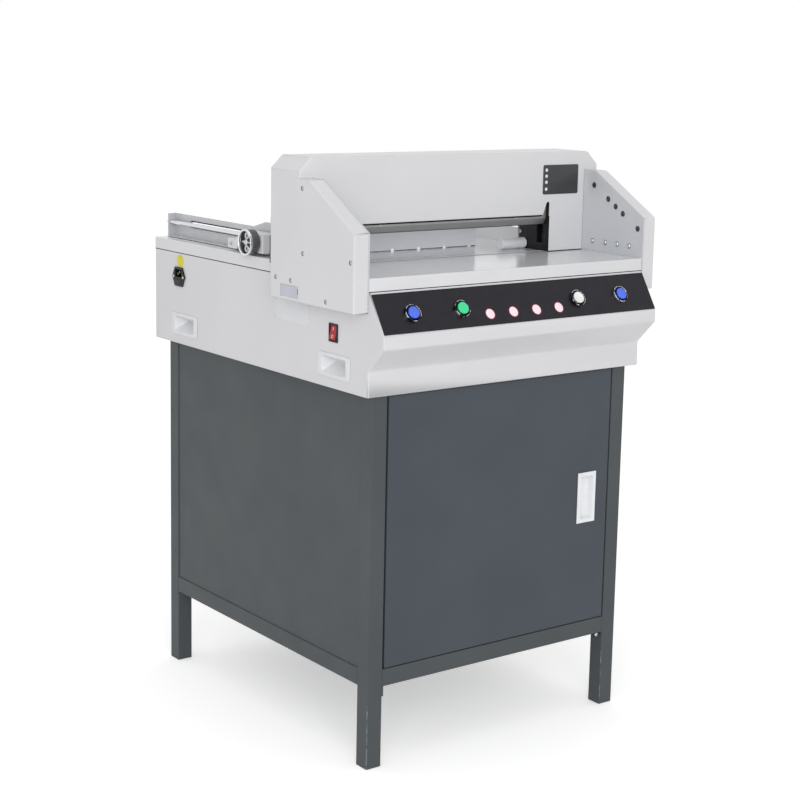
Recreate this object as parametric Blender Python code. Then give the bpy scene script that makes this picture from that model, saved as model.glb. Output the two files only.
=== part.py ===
"""Electric paper cutter on a cabinet stand, as used in print shops and offices.

Metres, +Z up, front towards -Y. The origin is on the floor under the middle of the machine.
Left and right are as the operator sees them. Every named object is one physical piece.
"""
import math

import bmesh
import bpy
from mathutils import Matrix, Vector

# Whole machine
OVERALL_DEPTH = 0.741
HOUSING_WIDTH = 0.600
STAND_HEIGHT = 0.640

# Clearances
FIT = 0.0003
RUN = 0.001
OVERRUN = 0.004

# Edges and facets
EDGE_RADIUS = 0.0012
FOLD_RADIUS = 0.003
SMALL_EDGE = 0.0006
BUTTON_SIDES = 28
ROD_SIDES = 16
WHEEL_SIDES = 36

# Stand
STAND_SETBACK = 0.012
STAND_SIDE_INSET = 0.01875
STAND_REAR_INSET = 0.023
TUBE = 0.030
TUBE_WALL = 0.0015
LEG_CAP = 0.004
RAIL_LEVEL = 0.141
TOP_RAIL_HEIGHT = 0.030
TOP_RAIL_WIDTH = 0.022
TOP_RAIL_RECESS = 0.0185
PANEL_SHEET = 0.0015
PANEL_INSET = 0.002
FLOOR_SHEET = 0.0015
FLOOR_RECESS = 0.018

# Door, its pull and its two pivot pins
DOOR_THICKNESS = 0.016
DOOR_SHEET = 0.0015
DOOR_HINGE_GAP = 0.0037
DOOR_LATCH_GAP = 0.0030
DOOR_FOOT_GAP = 0.0015
DOOR_HEAD_GAP = 0.0035
DOOR_PIVOT_X = 0.0055
DOOR_PIVOT_Y = 0.0060
PIN_RADIUS = 0.003
PIN_ENGAGEMENT = 0.014
PIN_STANDOFF = 0.0006
LUG_THICKNESS = 0.0024
LUG_LENGTH = 0.015
PULL_WIDTH = 0.043
PULL_HEIGHT = 0.093
PULL_RIM = 0.006
PULL_RIM_THICKNESS = 0.0018
PULL_DEPTH = 0.012
PULL_WALL = 0.0015
PULL_FROM_LEG = 0.05425
PULL_CENTRE_Z = 0.405

# Lower housing and the bed inside it
SHEET = 0.0015
NOSE_REACH = 0.041
TOE_HEIGHT = 0.0425
UNDERCUT_HEIGHT = 0.0415
NOSE_HEIGHT = 0.0205
SLOPE_HEIGHT = 0.066
FLANGE_WIDTH = 0.025
BED_THICKNESS = 0.006
BED_MARGIN = 0.006

# Table and cutting stick
TABLE_THICKNESS = 0.0222
TABLE_TOP_PLATE = 0.013
TABLE_RIM = 0.020
STICK_WIDTH = 0.014
STICK_DEPTH = 0.008
STICK_END = 0.004

# Side casings, their inner plates and the row of light sensors
CASING_THICKNESS = 0.030
LINER_THICKNESS = 0.002
CASING_DROP = 0.034
KNEE_HEIGHT = 0.1285
SHOULDER_LEVEL = 0.148
SHOULDER_DEPTH = 0.029
NECK_RISE = 0.0115
SENSOR_RADIUS = 0.0050
SENSOR_PROUD = 0.0006
SENSOR_BOARD = 0.008
SENSOR_BOARD_WIDTH = 0.017
SENSOR_FIRST_Y = 0.0275
SENSOR_FIRST_DROP = 0.0265
SENSOR_RUN = 0.117
SENSOR_FALL_SHARE = 0.92
SENSOR_SHARES = (0.0, 0.329, 0.499, 0.664, 1.0)

# Head
HEAD_SETBACK = 0.159
HEAD_DEPTH = 0.087
CHAMFER_RISE = 0.0225
CHAMFER_RUN = 0.0235
THROAT_HEIGHT = 0.068
REAR_THROAT_HEIGHT = 0.072
COLUMN_WIDTH = 0.083
SLOT_FOOT = 0.0155
SLOT_HEAD = 0.0075
SLOT_HEIGHT = 0.0237
UPRIGHT_THICKNESS = 0.012
UPRIGHT_DEPTH = 0.0805
UPRIGHT_HEIGHT = 0.155
REAR_COVER_CLEARANCE = 0.0006

# Knife, its carrier, the clamp and the beam that guides them
BLADE_SETBACK = 0.008
BLADE_THICKNESS = 0.008
BLADE_BEVEL = 0.012
BLADE_HEIGHT = 0.060
KNIFE_LIFT = 0.049
KNIFE_DRIFT = 0.025
CARRIER_THICKNESS = 0.016
CARRIER_HEIGHT = 0.096
CARRIER_ABOVE_EDGE = 0.016
CARRIER_RIGHT_REACH = 0.070
CARRIER_FOOT_CLEARANCE = 0.002
GUIDE_PIN_RADIUS = 0.006
GUIDE_PIN_LEFT_SHARE = 0.22
GUIDE_PIN_RIGHT_SHARE = 0.74
GUIDE_PIN_ABOVE_EDGE = 0.048
CLAMP_THICKNESS = 0.024
CLAMP_HEIGHT = 0.035
CLAMP_LIFT = 0.051
POST_RADIUS = 0.006
POST_HEIGHT = 0.081
POST_INSET = 0.075
BEAM_RISE = 0.0035
BEAM_HEIGHT = 0.062

# Drive
GEARBOX_WIDTH = 0.048
GEARBOX_DEPTH = 0.060
GEARBOX_HEIGHT = 0.072
MOTOR_RADIUS = 0.029
MOTOR_LENGTH = 0.138
MOTOR_FOOT_WIDTH = 0.040
SHAFT_LEVEL = 0.060
SHAFT_RADIUS = 0.008
SHAFT_ENGAGEMENT = 0.020
CRANK_THICKNESS = 0.012
CRANK_HUB_RADIUS = 0.018
CRANK_END_RADIUS = 0.011
ROD_FROM_WALL = 0.028
ROD_THICKNESS = 0.010
ROD_WIDTH = 0.018
ROD_EYE_RADIUS = 0.011
ROD_PIN_RADIUS = 0.006
ROD_PIN_ABOVE_EDGE = 0.034

# Control plate and push-buttons
PLATE_THICKNESS = 0.0012
PLATE_SIDE = 0.002
PLATE_FOOT = 0.003
PLATE_HEAD = 0.004
BUTTON_OUTER_INSET = 0.0715
BUTTON_INNER_INSET = 0.1725
BUTTON_DROP = 0.0038
BUTTON_SHIFT = 0.0038
BEZEL_RADIUS = 0.0150
BEZEL_HEIGHT = 0.005
BEZEL_CROWN_RADIUS = 0.0138
BEZEL_LIP = 0.0034
BEZEL_RECESS_RADIUS = 0.0107
BARREL_RADIUS = 0.0108
BARREL_BORE = 0.0086
BARREL_LENGTH = 0.022
CAP_RADIUS = 0.0103
CAP_THICKNESS = 0.0035
CAP_TRAVEL = 0.0035
CAP_CLEARANCE = 0.0006
CAP_STEM_RADIUS = 0.0082
CAP_STEM_LENGTH = 0.015

# Carry cups, power rocker and mains inlet on the housing's sides
CUP_LENGTH = 0.093
CUP_HEIGHT = 0.040
CUP_RIM = 0.008
CUP_RIM_THICKNESS = 0.0015
CUP_DEPTH = 0.024
CUP_WALL = 0.0015
CUP_LEVEL = 0.0375
CUP_FRONT_Y = 0.137
CUP_REAR_Y = 0.1125
ROCKER_WIDTH = 0.025
ROCKER_HEIGHT = 0.031
ROCKER_RIM = 0.003
ROCKER_RIM_THICKNESS = 0.0018
ROCKER_DEPTH = 0.014
ROCKER_TILT = math.radians(9)
ROCKER_Y = 0.1385
ROCKER_LEVEL = 0.0927
ROCKER_PLAY = 0.0022
INLET_WIDTH = 0.046
INLET_HEIGHT = 0.036
INLET_WAIST_SHARE = 0.60
INLET_FLANGE = 0.0025
INLET_DEPTH = 0.024
INLET_BODY_WIDTH = 0.027
INLET_BODY_HEIGHT = 0.031
INLET_Y = 0.093
INLET_LEVEL = 0.1265
SOCKET_WIDTH = 0.0235
SOCKET_HEIGHT = 0.0145
SOCKET_DEPTH = 0.017
SOCKET_RISE = 0.0065
FUSE_WIDTH = 0.0225
FUSE_HEIGHT = 0.0085
FUSE_DROP = 0.0090
FUSE_DEPTH = 0.020
FUSE_LIP = 0.0012

# Backgauge, its rail, rod, carriage and hand wheel
RAIL_WALL_X = 0.0380
RAIL_WALL = 0.003
RAIL_HEIGHT = 0.0445
RAIL_REAR_MARGIN = 0.0045
RAIL_PLATE_HEIGHT = 0.0552
RAIL_PLATE_END = 0.124
RAIL_PLATE_RAMP = 0.038
LEDGE_THICKNESS = 0.0027
RAIL_SLOT_HEIGHT = 0.011
RAIL_SLOT_START = 0.013
RAIL_SLOT_REAR_MARGIN = 0.0665
LUG_DEPTH = 0.004
LUG_WALL = 0.0015
GUIDE_ROD_RADIUS = 0.004
GUIDE_ROD_OFFSET = 0.008
GUIDE_ROD_LEVEL = 0.028
CARRIAGE_WIDTH = 0.032
CARRIAGE_LENGTH = 0.117
CARRIAGE_BOSS_LENGTH = 0.076
CARRIAGE_TAIL_DROP = 0.0015
CARRIAGE_FOOT = 0.005
CARRIAGE_HEIGHT = 0.034
CARRIAGE_GAP = 0.002
CARRIAGE_FRONT = 0.0775
NECK_START = 0.016
NECK_LENGTH = 0.032
NECK_THICKNESS = 0.009
PAD_THICKNESS = 0.008
PAD_HEIGHT = 0.034
GAUGE_PLATE = 0.003
GAUGE_HEIGHT = 0.061
GAUGE_FACE = 0.0485
GAUGE_RIGHT = 0.155
GAUGE_ARM_REAR = 0.048
COMB_PITCH = 0.0594
COMB_NOTCH = 0.008
COMB_NOTCH_HEIGHT = 0.0035
COMB_FIRST = 0.010
WHEEL_RADIUS = 0.023
WHEEL_RIM = 0.0035
WHEEL_RECESS = 0.008
WHEEL_HUB_RADIUS = 0.008
WHEEL_WIDTH = 0.020
WHEEL_LEVEL = 0.024
WHEEL_FORWARD = 0.0275
WHEEL_SHAFT_RADIUS = 0.004
WHEEL_SHAFT_ENGAGEMENT = 0.018
GUIDE_BAR_RADIUS = 0.010
GUIDE_BAR_LENGTH = 0.057
SIDE_LAY_HEIGHT = 0.030
SIDE_LAY_REAR_MARGIN = 0.030
GUIDE_BAR_INSET = 0.0135

# Places worked out from the sizes above
HALF_WIDTH = HOUSING_WIDTH / 2
NOSE_Y = -OVERALL_DEPTH / 2
REAR_Y = OVERALL_DEPTH / 2
FRONT_Y = NOSE_Y + NOSE_REACH
STAND_FRONT = FRONT_Y + STAND_SETBACK
STAND_REAR = REAR_Y - STAND_REAR_INSET
STAND_HALF = HALF_WIDTH - STAND_SIDE_INSET
LEG_INNER = STAND_HALF - TUBE
RAIL_TOP = RAIL_LEVEL + TUBE
HOUSING_Z = STAND_HEIGHT + FIT
TOE_Z = HOUSING_Z + TOE_HEIGHT
NOSE_LOW_Z = TOE_Z + UNDERCUT_HEIGHT
NOSE_TOP_Z = NOSE_LOW_Z + NOSE_HEIGHT
SLOPE_TOP_Z = NOSE_TOP_Z + SLOPE_HEIGHT
TABLE_LOW_Z = SLOPE_TOP_Z + FIT
TABLE_Z = TABLE_LOW_Z + TABLE_THICKNESS
ON_TABLE_Z = TABLE_Z + FIT
LINER_X = HALF_WIDTH + FIT
CASING_X = LINER_X + LINER_THICKNESS + FIT
OUTER_X = LINER_X + CASING_THICKNESS
CASING_Z = SLOPE_TOP_Z - CASING_DROP
KNEE_Z = CASING_Z + KNEE_HEIGHT
SHOULDER_Z = TABLE_Z + SHOULDER_LEVEL
NECK_Z = SHOULDER_Z + NECK_RISE
TOP_Z = NECK_Z + CHAMFER_RISE
HEAD_Y = FRONT_Y + HEAD_SETBACK
SHOULDER_Y = HEAD_Y - SHOULDER_DEPTH
HEAD_REAR_Y = HEAD_Y + HEAD_DEPTH
IN_HEAD_Y = HEAD_Y + SHEET + FIT
PANEL_Z = TABLE_Z + THROAT_HEIGHT
COLUMN_X = HALF_WIDTH - COLUMN_WIDTH
UPRIGHT_X = COLUMN_X + FIT
BED_Z = HOUSING_Z + SHEET + FIT
BED_TOP_Z = BED_Z + BED_THICKNESS

BLADE_Y = HEAD_Y + BLADE_SETBACK
CARRIER_Y = BLADE_Y + BLADE_THICKNESS + FIT
BEAM_Y = CARRIER_Y + CARRIER_THICKNESS + RUN
CLAMP_Y = BEAM_Y + RUN
CLAMP_REAR_Y = CLAMP_Y + CLAMP_THICKNESS
EDGE_Z = TABLE_Z + KNIFE_LIFT
KNIFE_DROP = KNIFE_LIFT - FIT
CLAMP_Z = TABLE_Z + CLAMP_LIFT
CLAMP_TOP_Z = CLAMP_Z + CLAMP_HEIGHT
BEAM_Z = CLAMP_TOP_Z + BEAM_RISE
THROAT_LEFT = -HALF_WIDTH + UPRIGHT_THICKNESS + RUN
THROAT_RIGHT = COLUMN_X - RUN
BLADE_LEFT = THROAT_LEFT + KNIFE_DRIFT + RUN
CARRIER_RIGHT = COLUMN_X + CARRIER_RIGHT_REACH
ROD_X = HALF_WIDTH - ROD_FROM_WALL
ROD_Y = CARRIER_Y + CARRIER_THICKNESS + RUN
CRANK_Y = ROD_Y + ROD_THICKNESS + RUN
GEARBOX_Y = CRANK_Y + CRANK_THICKNESS + RUN
CRANK_Z = HOUSING_Z + SHAFT_LEVEL
CRANK_SWING = 2 * math.atan2(KNIFE_DROP, KNIFE_DRIFT)
CRANK_RADIUS = KNIFE_DRIFT / math.sin(CRANK_SWING)
ROD_PIN_Z = EDGE_Z + ROD_PIN_ABOVE_EDGE

RAIL_X = -HALF_WIDTH + RAIL_WALL_X
RAIL_REAR_Y = REAR_Y - RAIL_REAR_MARGIN
RAIL_FRONT_Y = HEAD_REAR_Y + FIT
GUIDE_ROD_X = RAIL_X - GUIDE_ROD_OFFSET
GUIDE_ROD_Z = TABLE_Z + GUIDE_ROD_LEVEL
CARRIAGE_RIGHT = RAIL_X - CARRIAGE_GAP
CARRIAGE_LEFT = CARRIAGE_RIGHT - CARRIAGE_WIDTH
CARRIAGE_Y = HEAD_REAR_Y + CARRIAGE_FRONT
CARRIAGE_Z = TABLE_Z + CARRIAGE_FOOT
WHEEL_Y = CARRIAGE_Y + WHEEL_FORWARD
WHEEL_Z = TABLE_Z + WHEEL_LEVEL
PAD_X = RAIL_X + RAIL_WALL + RUN
GAUGE_Y = HEAD_REAR_Y + GAUGE_FACE
GAUGE_X = PAD_X + PAD_THICKNESS + FIT
GAUGE_Z = TABLE_Z + RUN

SLOPE_LENGTH = math.hypot(NOSE_REACH, SLOPE_HEIGHT)
SLOPE_UP = Vector((0, NOSE_REACH / SLOPE_LENGTH, SLOPE_HEIGHT / SLOPE_LENGTH))
SLOPE_OUT = Vector((0, -SLOPE_HEIGHT / SLOPE_LENGTH, NOSE_REACH / SLOPE_LENGTH))
SLOPE_FOOT = Vector((0, NOSE_Y, NOSE_TOP_Z))
LEFT_OUT = Vector((-1, 0, 0))
RIGHT_OUT = Vector((1, 0, 0))
UP = Vector((0, 0, 1))

# Colour, metallic and roughness of each finish
FINISHES = {
    "white_paint": ((0.72, 0.72, 0.73), 0.0, 0.42),
    "stand_paint": ((0.085, 0.095, 0.105), 0.0, 0.50),
    "door_paint": ((0.085, 0.092, 0.115), 0.0, 0.45),
    "grey_metal": ((0.48, 0.50, 0.53), 0.6, 0.38),
    "polished_steel": ((0.60, 0.60, 0.60), 1.0, 0.25),
    "dark_cast": ((0.03, 0.03, 0.035), 0.2, 0.60),
    "black_plastic": ((0.02, 0.02, 0.022), 0.0, 0.40),
    "white_plastic": ((0.82, 0.82, 0.82), 0.0, 0.35),
    "blue_plastic": ((0.06, 0.16, 0.80), 0.0, 0.30),
    "green_plastic": ((0.03, 0.75, 0.36), 0.0, 0.30),
    "red_plastic": ((0.62, 0.03, 0.05), 0.0, 0.30),
    "motor_paint": ((0.10, 0.13, 0.16), 0.1, 0.50),
}
MATERIALS = {}


def finish(name):
    """The Principled material of one finish, made on first use."""
    if name not in MATERIALS:
        colour, metallic, roughness = FINISHES[name]
        material = bpy.data.materials.new(name)
        material.use_nodes = True
        shader = material.node_tree.nodes["Principled BSDF"]
        shader.inputs["Base Color"].default_value = (*colour, 1)
        shader.inputs["Metallic"].default_value = metallic
        shader.inputs["Roughness"].default_value = roughness
        MATERIALS[name] = material
    return MATERIALS[name]


def piece(name, bm, look=None, at=(0, 0, 0)):
    """Turns a bmesh in world places into an object whose origin is at the point given."""
    bmesh.ops.translate(bm, verts=bm.verts, vec=-Vector(at))
    bmesh.ops.recalc_face_normals(bm, faces=bm.faces)
    mesh = bpy.data.meshes.new(name)
    bm.to_mesh(mesh)
    bm.free()
    obj = bpy.data.objects.new(name, mesh)
    obj.location = at
    bpy.context.scene.collection.objects.link(obj)
    if look:
        mesh.materials.append(finish(look))
    mesh.shade_smooth()
    mesh.set_sharp_from_angle(angle=math.radians(35))
    return obj


def prism(outline, axis, low, high):
    """A bmesh of a flat outline pushed from low to high along X, Y or Z."""
    place = {
        "X": lambda a, b, h: (h, a, b),
        "Y": lambda a, b, h: (a, h, b),
        "Z": lambda a, b, h: (a, b, h),
    }[axis]
    bm = bmesh.new()
    ring = [bm.verts.new(place(a, b, low)) for a, b in outline]
    face = bm.faces.new(ring)
    pushed = bmesh.ops.extrude_face_region(bm, geom=[face])
    moved = [item for item in pushed["geom"] if isinstance(item, bmesh.types.BMVert)]
    shift = Vector(place(0, 0, high)) - Vector(place(0, 0, low))
    bmesh.ops.translate(bm, verts=moved, vec=shift)
    bmesh.ops.recalc_face_normals(bm, faces=bm.faces)
    return bm


def box(low, high):
    """A bmesh box between two corners."""
    outline = [(low[0], low[1]), (high[0], low[1]), (high[0], high[1]), (low[0], high[1])]
    return prism(outline, "Z", low[2], high[2])


def soften(bm, radius, segments=2, left_sharp=lambda edge: False):
    """Rounds the edges of a bmesh, apart from those to be left sharp."""
    edges = [edge for edge in bm.edges if not left_sharp(edge)]
    bmesh.ops.bevel(bm, geom=edges, offset=radius, segments=segments, profile=0.5,
                    affect="EDGES", clamp_overlap=True)
    return bm


def lies_at(axis, *levels):
    """A test for edges that lie wholly at one of some levels along X (0), Y (1) or Z (2)."""
    return lambda edge: any(all(abs(vert.co[axis] - level) < FIT for vert in edge.verts)
                            for level in levels)


def turned(profile, sides, centre, along):
    """A bmesh turned round the axis along, from a closed profile of (radius, height) points."""
    bm = bmesh.new()
    rings = []
    for radius, height in profile:
        if radius == 0:
            rings.append([bm.verts.new((0, 0, height))])
            continue
        angles = [2 * math.pi * step / sides for step in range(sides)]
        rings.append([bm.verts.new((radius * math.cos(a), radius * math.sin(a), height))
                      for a in angles])
    for first, second in zip(rings, rings[1:] + rings[:1]):
        for step in range(sides):
            corner = [first[step % len(first)], first[(step + 1) % len(first)],
                      second[(step + 1) % len(second)], second[step % len(second)]]
            corner = list(dict.fromkeys(corner))
            if len(corner) > 2:
                bm.faces.new(corner)
    turn = Vector(along).to_track_quat("Z", "Y").to_matrix().to_4x4()
    bmesh.ops.transform(bm, matrix=Matrix.Translation(centre) @ turn, verts=bm.verts)
    bmesh.ops.recalc_face_normals(bm, faces=bm.faces)
    return bm


def rod(radius, start, end, sides=ROD_SIDES):
    """A bmesh cylinder between two points."""
    along = Vector(end) - Vector(start)
    profile = [(0, 0), (radius, 0), (radius, along.length), (0, along.length)]
    return turned(profile, sides, start, along)


def settle(obj, operation, others):
    """Applies one exact boolean for each bmesh in others."""
    for bm in others:
        bmesh.ops.translate(bm, verts=bm.verts, vec=-obj.location)
        tool = piece("tool", bm)
        tool.location = obj.location
        modifier = obj.modifiers.new("shape", "BOOLEAN")
        modifier.operation = operation
        modifier.solver = "EXACT"
        modifier.object = tool
        graph = bpy.context.evaluated_depsgraph_get()
        shaped = bpy.data.meshes.new_from_object(obj.evaluated_get(graph))
        obj.modifiers.clear()
        old = obj.data
        obj.data = shaped
        shaped.name = obj.name
        bpy.data.meshes.remove(old)
        bpy.data.objects.remove(tool, do_unlink=True)
    obj.data.shade_smooth()
    obj.data.set_sharp_from_angle(angle=math.radians(35))
    return obj


def cut(obj, *others):
    return settle(obj, "DIFFERENCE", others)


def join(obj, *others):
    return settle(obj, "UNION", others)


def corner_normals(points, closed):
    """For each point of a path, the miter vector to its left for an offset of one."""
    count = len(points)
    miters = []
    for index in range(count):
        before = points[index - 1] if closed or index else None
        after = points[(index + 1) % count] if closed or index < count - 1 else None
        here = Vector(points[index])
        sides = []
        if before is not None:
            sides.append((here - Vector(before)).normalized())
        if after is not None:
            sides.append((Vector(after) - here).normalized())
        lefts = [Vector((-side.y, side.x)) for side in sides]
        total = sum(lefts, Vector((0, 0)))
        miters.append(total / total.dot(lefts[0]))
    return miters


def inset(outline, distance):
    """A counter-clockwise outline shrunk by a distance."""
    return [tuple(Vector(point) + miter * distance)
            for point, miter in zip(outline, corner_normals(outline, True))]


def folded(path, thickness):
    """The outline of a folded sheet whose outer face follows a path, with the sheet on its left."""
    inner = [tuple(Vector(point) + miter * thickness)
             for point, miter in zip(path, corner_normals(path, False))]
    return list(path) + inner[::-1]


def mirrored(outline):
    """An outline's left half made from its right half, in counter-clockwise order."""
    return outline + [(-x, z) for x, z in reversed(outline)]


def hull_outline(start, start_radius, end, end_radius, sides=20):
    """The outline of a link: two round ends joined by their outer tangents."""
    start, end = Vector(start), Vector(end)
    along = end - start
    heading = math.atan2(along.y, along.x)
    lean = math.acos((start_radius - end_radius) / along.length)
    points = []
    for centre, radius, first, last in (
            (end, end_radius, heading - lean, heading + lean),
            (start, start_radius, heading + lean, heading + 2 * math.pi - lean)):
        for step in range(sides + 1):
            angle = first + (last - first) * step / sides
            points.append((centre.x + radius * math.cos(angle),
                           centre.y + radius * math.sin(angle)))
    return points


def square_tube(name, low, high, axis, look):
    """A square tube between two corners, open at both ends along its axis."""
    tube = piece(name, soften(box(low, high), EDGE_RADIUS), look)
    inner_low = [value + TUBE_WALL for value in low]
    inner_high = [value - TUBE_WALL for value in high]
    inner_low[axis] = low[axis] - OVERRUN
    inner_high[axis] = high[axis] + OVERRUN
    return cut(tube, box(inner_low, inner_high))


def make_stand():
    """Four square-tube legs, a lower frame of rails, a top frame and sheet panels."""
    for side, side_name in ((-1, "left"), (1, "right")):
        outer, inner = sorted((side * STAND_HALF, side * LEG_INNER))
        for low_y, end_name in ((STAND_FRONT, "front"), (STAND_REAR - TUBE, "rear")):
            low = (outer, low_y, 0)
            high = (inner, low_y + TUBE, STAND_HEIGHT)
            leg = piece(f"leg_{end_name}_{side_name}", soften(box(low, high), EDGE_RADIUS),
                        "stand_paint")
            cut(leg, box((outer + TUBE_WALL, low_y + TUBE_WALL, LEG_CAP),
                         (inner - TUBE_WALL, low_y + TUBE - TUBE_WALL, STAND_HEIGHT + OVERRUN)))
        square_tube(f"rail_{side_name}", (outer, STAND_FRONT + TUBE + FIT, RAIL_LEVEL),
                    (inner, STAND_REAR - TUBE - FIT, RAIL_TOP), 1, "stand_paint")
        panel_x = sorted((side * (STAND_HALF - PANEL_INSET),
                          side * (STAND_HALF - PANEL_INSET - PANEL_SHEET)))
        piece(f"side_panel_{side_name}",
              box((panel_x[0], STAND_FRONT + TUBE + FIT, RAIL_TOP + FIT),
                  (panel_x[1], STAND_REAR - TUBE - FIT, STAND_HEIGHT)), "stand_paint")
    across = LEG_INNER - FIT
    for low_y, end_name in ((STAND_FRONT, "front"), (STAND_REAR - TUBE, "rear")):
        square_tube(f"rail_{end_name}", (-across, low_y, RAIL_LEVEL),
                    (across, low_y + TUBE, RAIL_TOP), 0, "stand_paint")
    rear_face = STAND_REAR - PANEL_INSET
    piece("rear_panel", box((-across, rear_face - PANEL_SHEET, RAIL_TOP + FIT),
                            (across, rear_face, STAND_HEIGHT)), "stand_paint")
    piece("cabinet_floor",
          box((-across, STAND_FRONT + FLOOR_RECESS, RAIL_TOP + FIT),
              (across, rear_face - PANEL_SHEET - FIT, RAIL_TOP + FIT + FLOOR_SHEET)),
          "stand_paint")
    make_top_frame(across)


def make_top_frame(across):
    """The ring between the leg tops, with the lug that holds the door's upper pin."""
    low_z = STAND_HEIGHT - TOP_RAIL_HEIGHT
    front = STAND_FRONT + TOP_RAIL_RECESS
    rear = STAND_REAR - TUBE / 2
    frame = piece("top_frame", box((-across, front, low_z), (across, rear, STAND_HEIGHT)),
                  "stand_paint")
    cut(frame, box((-across + TOP_RAIL_WIDTH, front + TOP_RAIL_WIDTH, low_z - OVERRUN),
                   (across - TOP_RAIL_WIDTH, rear - TOP_RAIL_WIDTH, STAND_HEIGHT + OVERRUN)))
    join(frame, box((-across, STAND_FRONT, STAND_HEIGHT - LUG_THICKNESS),
                    (-across + LUG_LENGTH, front + TOP_RAIL_WIDTH / 2, STAND_HEIGHT)))
    pivot = door_pivot()
    cut(frame, rod(PIN_RADIUS + FIT, (pivot.x, pivot.y, low_z - OVERRUN),
                   (pivot.x, pivot.y, STAND_HEIGHT + OVERRUN)))


def door_pivot():
    """The point on the floor under the door's pivot axis."""
    return Vector((-LEG_INNER + DOOR_HINGE_GAP + DOOR_PIVOT_X, STAND_FRONT + DOOR_PIVOT_Y, 0))


def make_door():
    """The pan-shaped door, its recessed pull and the two pins it turns on."""
    pivot = door_pivot()
    low = (-LEG_INNER + DOOR_HINGE_GAP, STAND_FRONT, RAIL_TOP + DOOR_FOOT_GAP)
    high = (LEG_INNER - DOOR_LATCH_GAP, STAND_FRONT + DOOR_THICKNESS,
            STAND_HEIGHT - DOOR_HEAD_GAP)
    door = piece("door", soften(box(low, high), EDGE_RADIUS), "door_paint", at=pivot)
    cut(door, box((low[0] + DOOR_SHEET, low[1] + DOOR_SHEET, low[2] + DOOR_SHEET),
                  (high[0] - DOOR_SHEET, high[1] + OVERRUN, high[2] - DOOR_SHEET)))
    half = Vector((PULL_WIDTH / 2 - PULL_RIM, 0, PULL_HEIGHT / 2 - PULL_RIM))
    centre = Vector((LEG_INNER - PULL_FROM_LEG, STAND_FRONT, PULL_CENTRE_Z))
    grow = Vector((FIT, OVERRUN, FIT))
    cut(door, box(centre - half - grow, centre + half + grow))
    for level in (low[2], high[2]):
        cut(door, rod(PIN_RADIUS + FIT, (pivot.x, pivot.y, level - OVERRUN),
                      (pivot.x, pivot.y, level + OVERRUN)))
    make_pull(centre, half, pivot)
    foot = RAIL_TOP + FIT
    piece("hinge_pin_lower", rod(PIN_RADIUS, (pivot.x, pivot.y, foot),
                                 (pivot.x, pivot.y, foot + PIN_ENGAGEMENT)), "grey_metal")
    top = STAND_HEIGHT - PIN_STANDOFF
    piece("hinge_pin_upper", rod(PIN_RADIUS, (pivot.x, pivot.y, top - PIN_ENGAGEMENT),
                                 (pivot.x, pivot.y, top)), "grey_metal")


def make_pull(centre, half, pivot):
    """A flush finger pull: a rim on the door's face and a cup behind it."""
    rim_front = STAND_FRONT - FIT - PULL_RIM_THICKNESS
    pull = piece("door_handle",
                 soften(box((centre.x - PULL_WIDTH / 2, rim_front, centre.z - PULL_HEIGHT / 2),
                            (centre.x + PULL_WIDTH / 2, STAND_FRONT - FIT,
                             centre.z + PULL_HEIGHT / 2)), SMALL_EDGE),
                 "white_plastic", at=pivot)
    join(pull, box((centre.x - half.x, rim_front + SMALL_EDGE, centre.z - half.z),
                   (centre.x + half.x, STAND_FRONT + PULL_DEPTH, centre.z + half.z)))
    cut(pull, box((centre.x - half.x + PULL_WALL, rim_front - OVERRUN,
                   centre.z - half.z + PULL_WALL),
                  (centre.x + half.x - PULL_WALL, STAND_FRONT + PULL_DEPTH - PULL_WALL,
                   centre.z + half.z - PULL_WALL)))


def side_frame(out, y, z):
    """The frame of a fitting on a side wall: local x rearwards, local y up, local z outwards."""
    across = UP.cross(out)
    turn = Matrix((across, UP, out)).transposed().to_4x4()
    return Matrix.Translation((out.x * HALF_WIDTH, y, z)) @ turn


def local_box(frame, low, high, radius=0.0):
    """A box given in a fitting's own frame."""
    bm = box(low, high)
    if radius:
        soften(bm, radius)
    bmesh.ops.transform(bm, matrix=frame, verts=bm.verts)
    return bm


def cup_frames():
    """Each carry cup's name and frame: two on each side of the housing."""
    level = HOUSING_Z + CUP_LEVEL
    for out, side in ((LEFT_OUT, "left"), (RIGHT_OUT, "right")):
        yield f"carry_cup_front_{side}", side_frame(out, NOSE_Y + CUP_FRONT_Y, level)
        yield f"carry_cup_rear_{side}", side_frame(out, REAR_Y - CUP_REAR_Y, level)


def rocker_frame_place():
    return side_frame(LEFT_OUT, NOSE_Y + ROCKER_Y, HOUSING_Z + ROCKER_LEVEL)


def inlet_place():
    return side_frame(LEFT_OUT, REAR_Y - INLET_Y, HOUSING_Z + INLET_LEVEL)


def button_places():
    """Each push-button's name, colour and foot on the slope."""
    middle = SLOPE_FOOT + SLOPE_UP * (SLOPE_LENGTH / 2 - BUTTON_DROP)
    outer, inner = HALF_WIDTH - BUTTON_OUTER_INSET, HALF_WIDTH - BUTTON_INNER_INSET
    for name, look, x in (("cut_left", "blue_plastic", -outer),
                          ("power", "green_plastic", -inner),
                          ("reset", "white_plastic", inner),
                          ("cut_right", "blue_plastic", outer)):
        yield name, look, middle + Vector((x - BUTTON_SHIFT, 0, 0))


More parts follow.
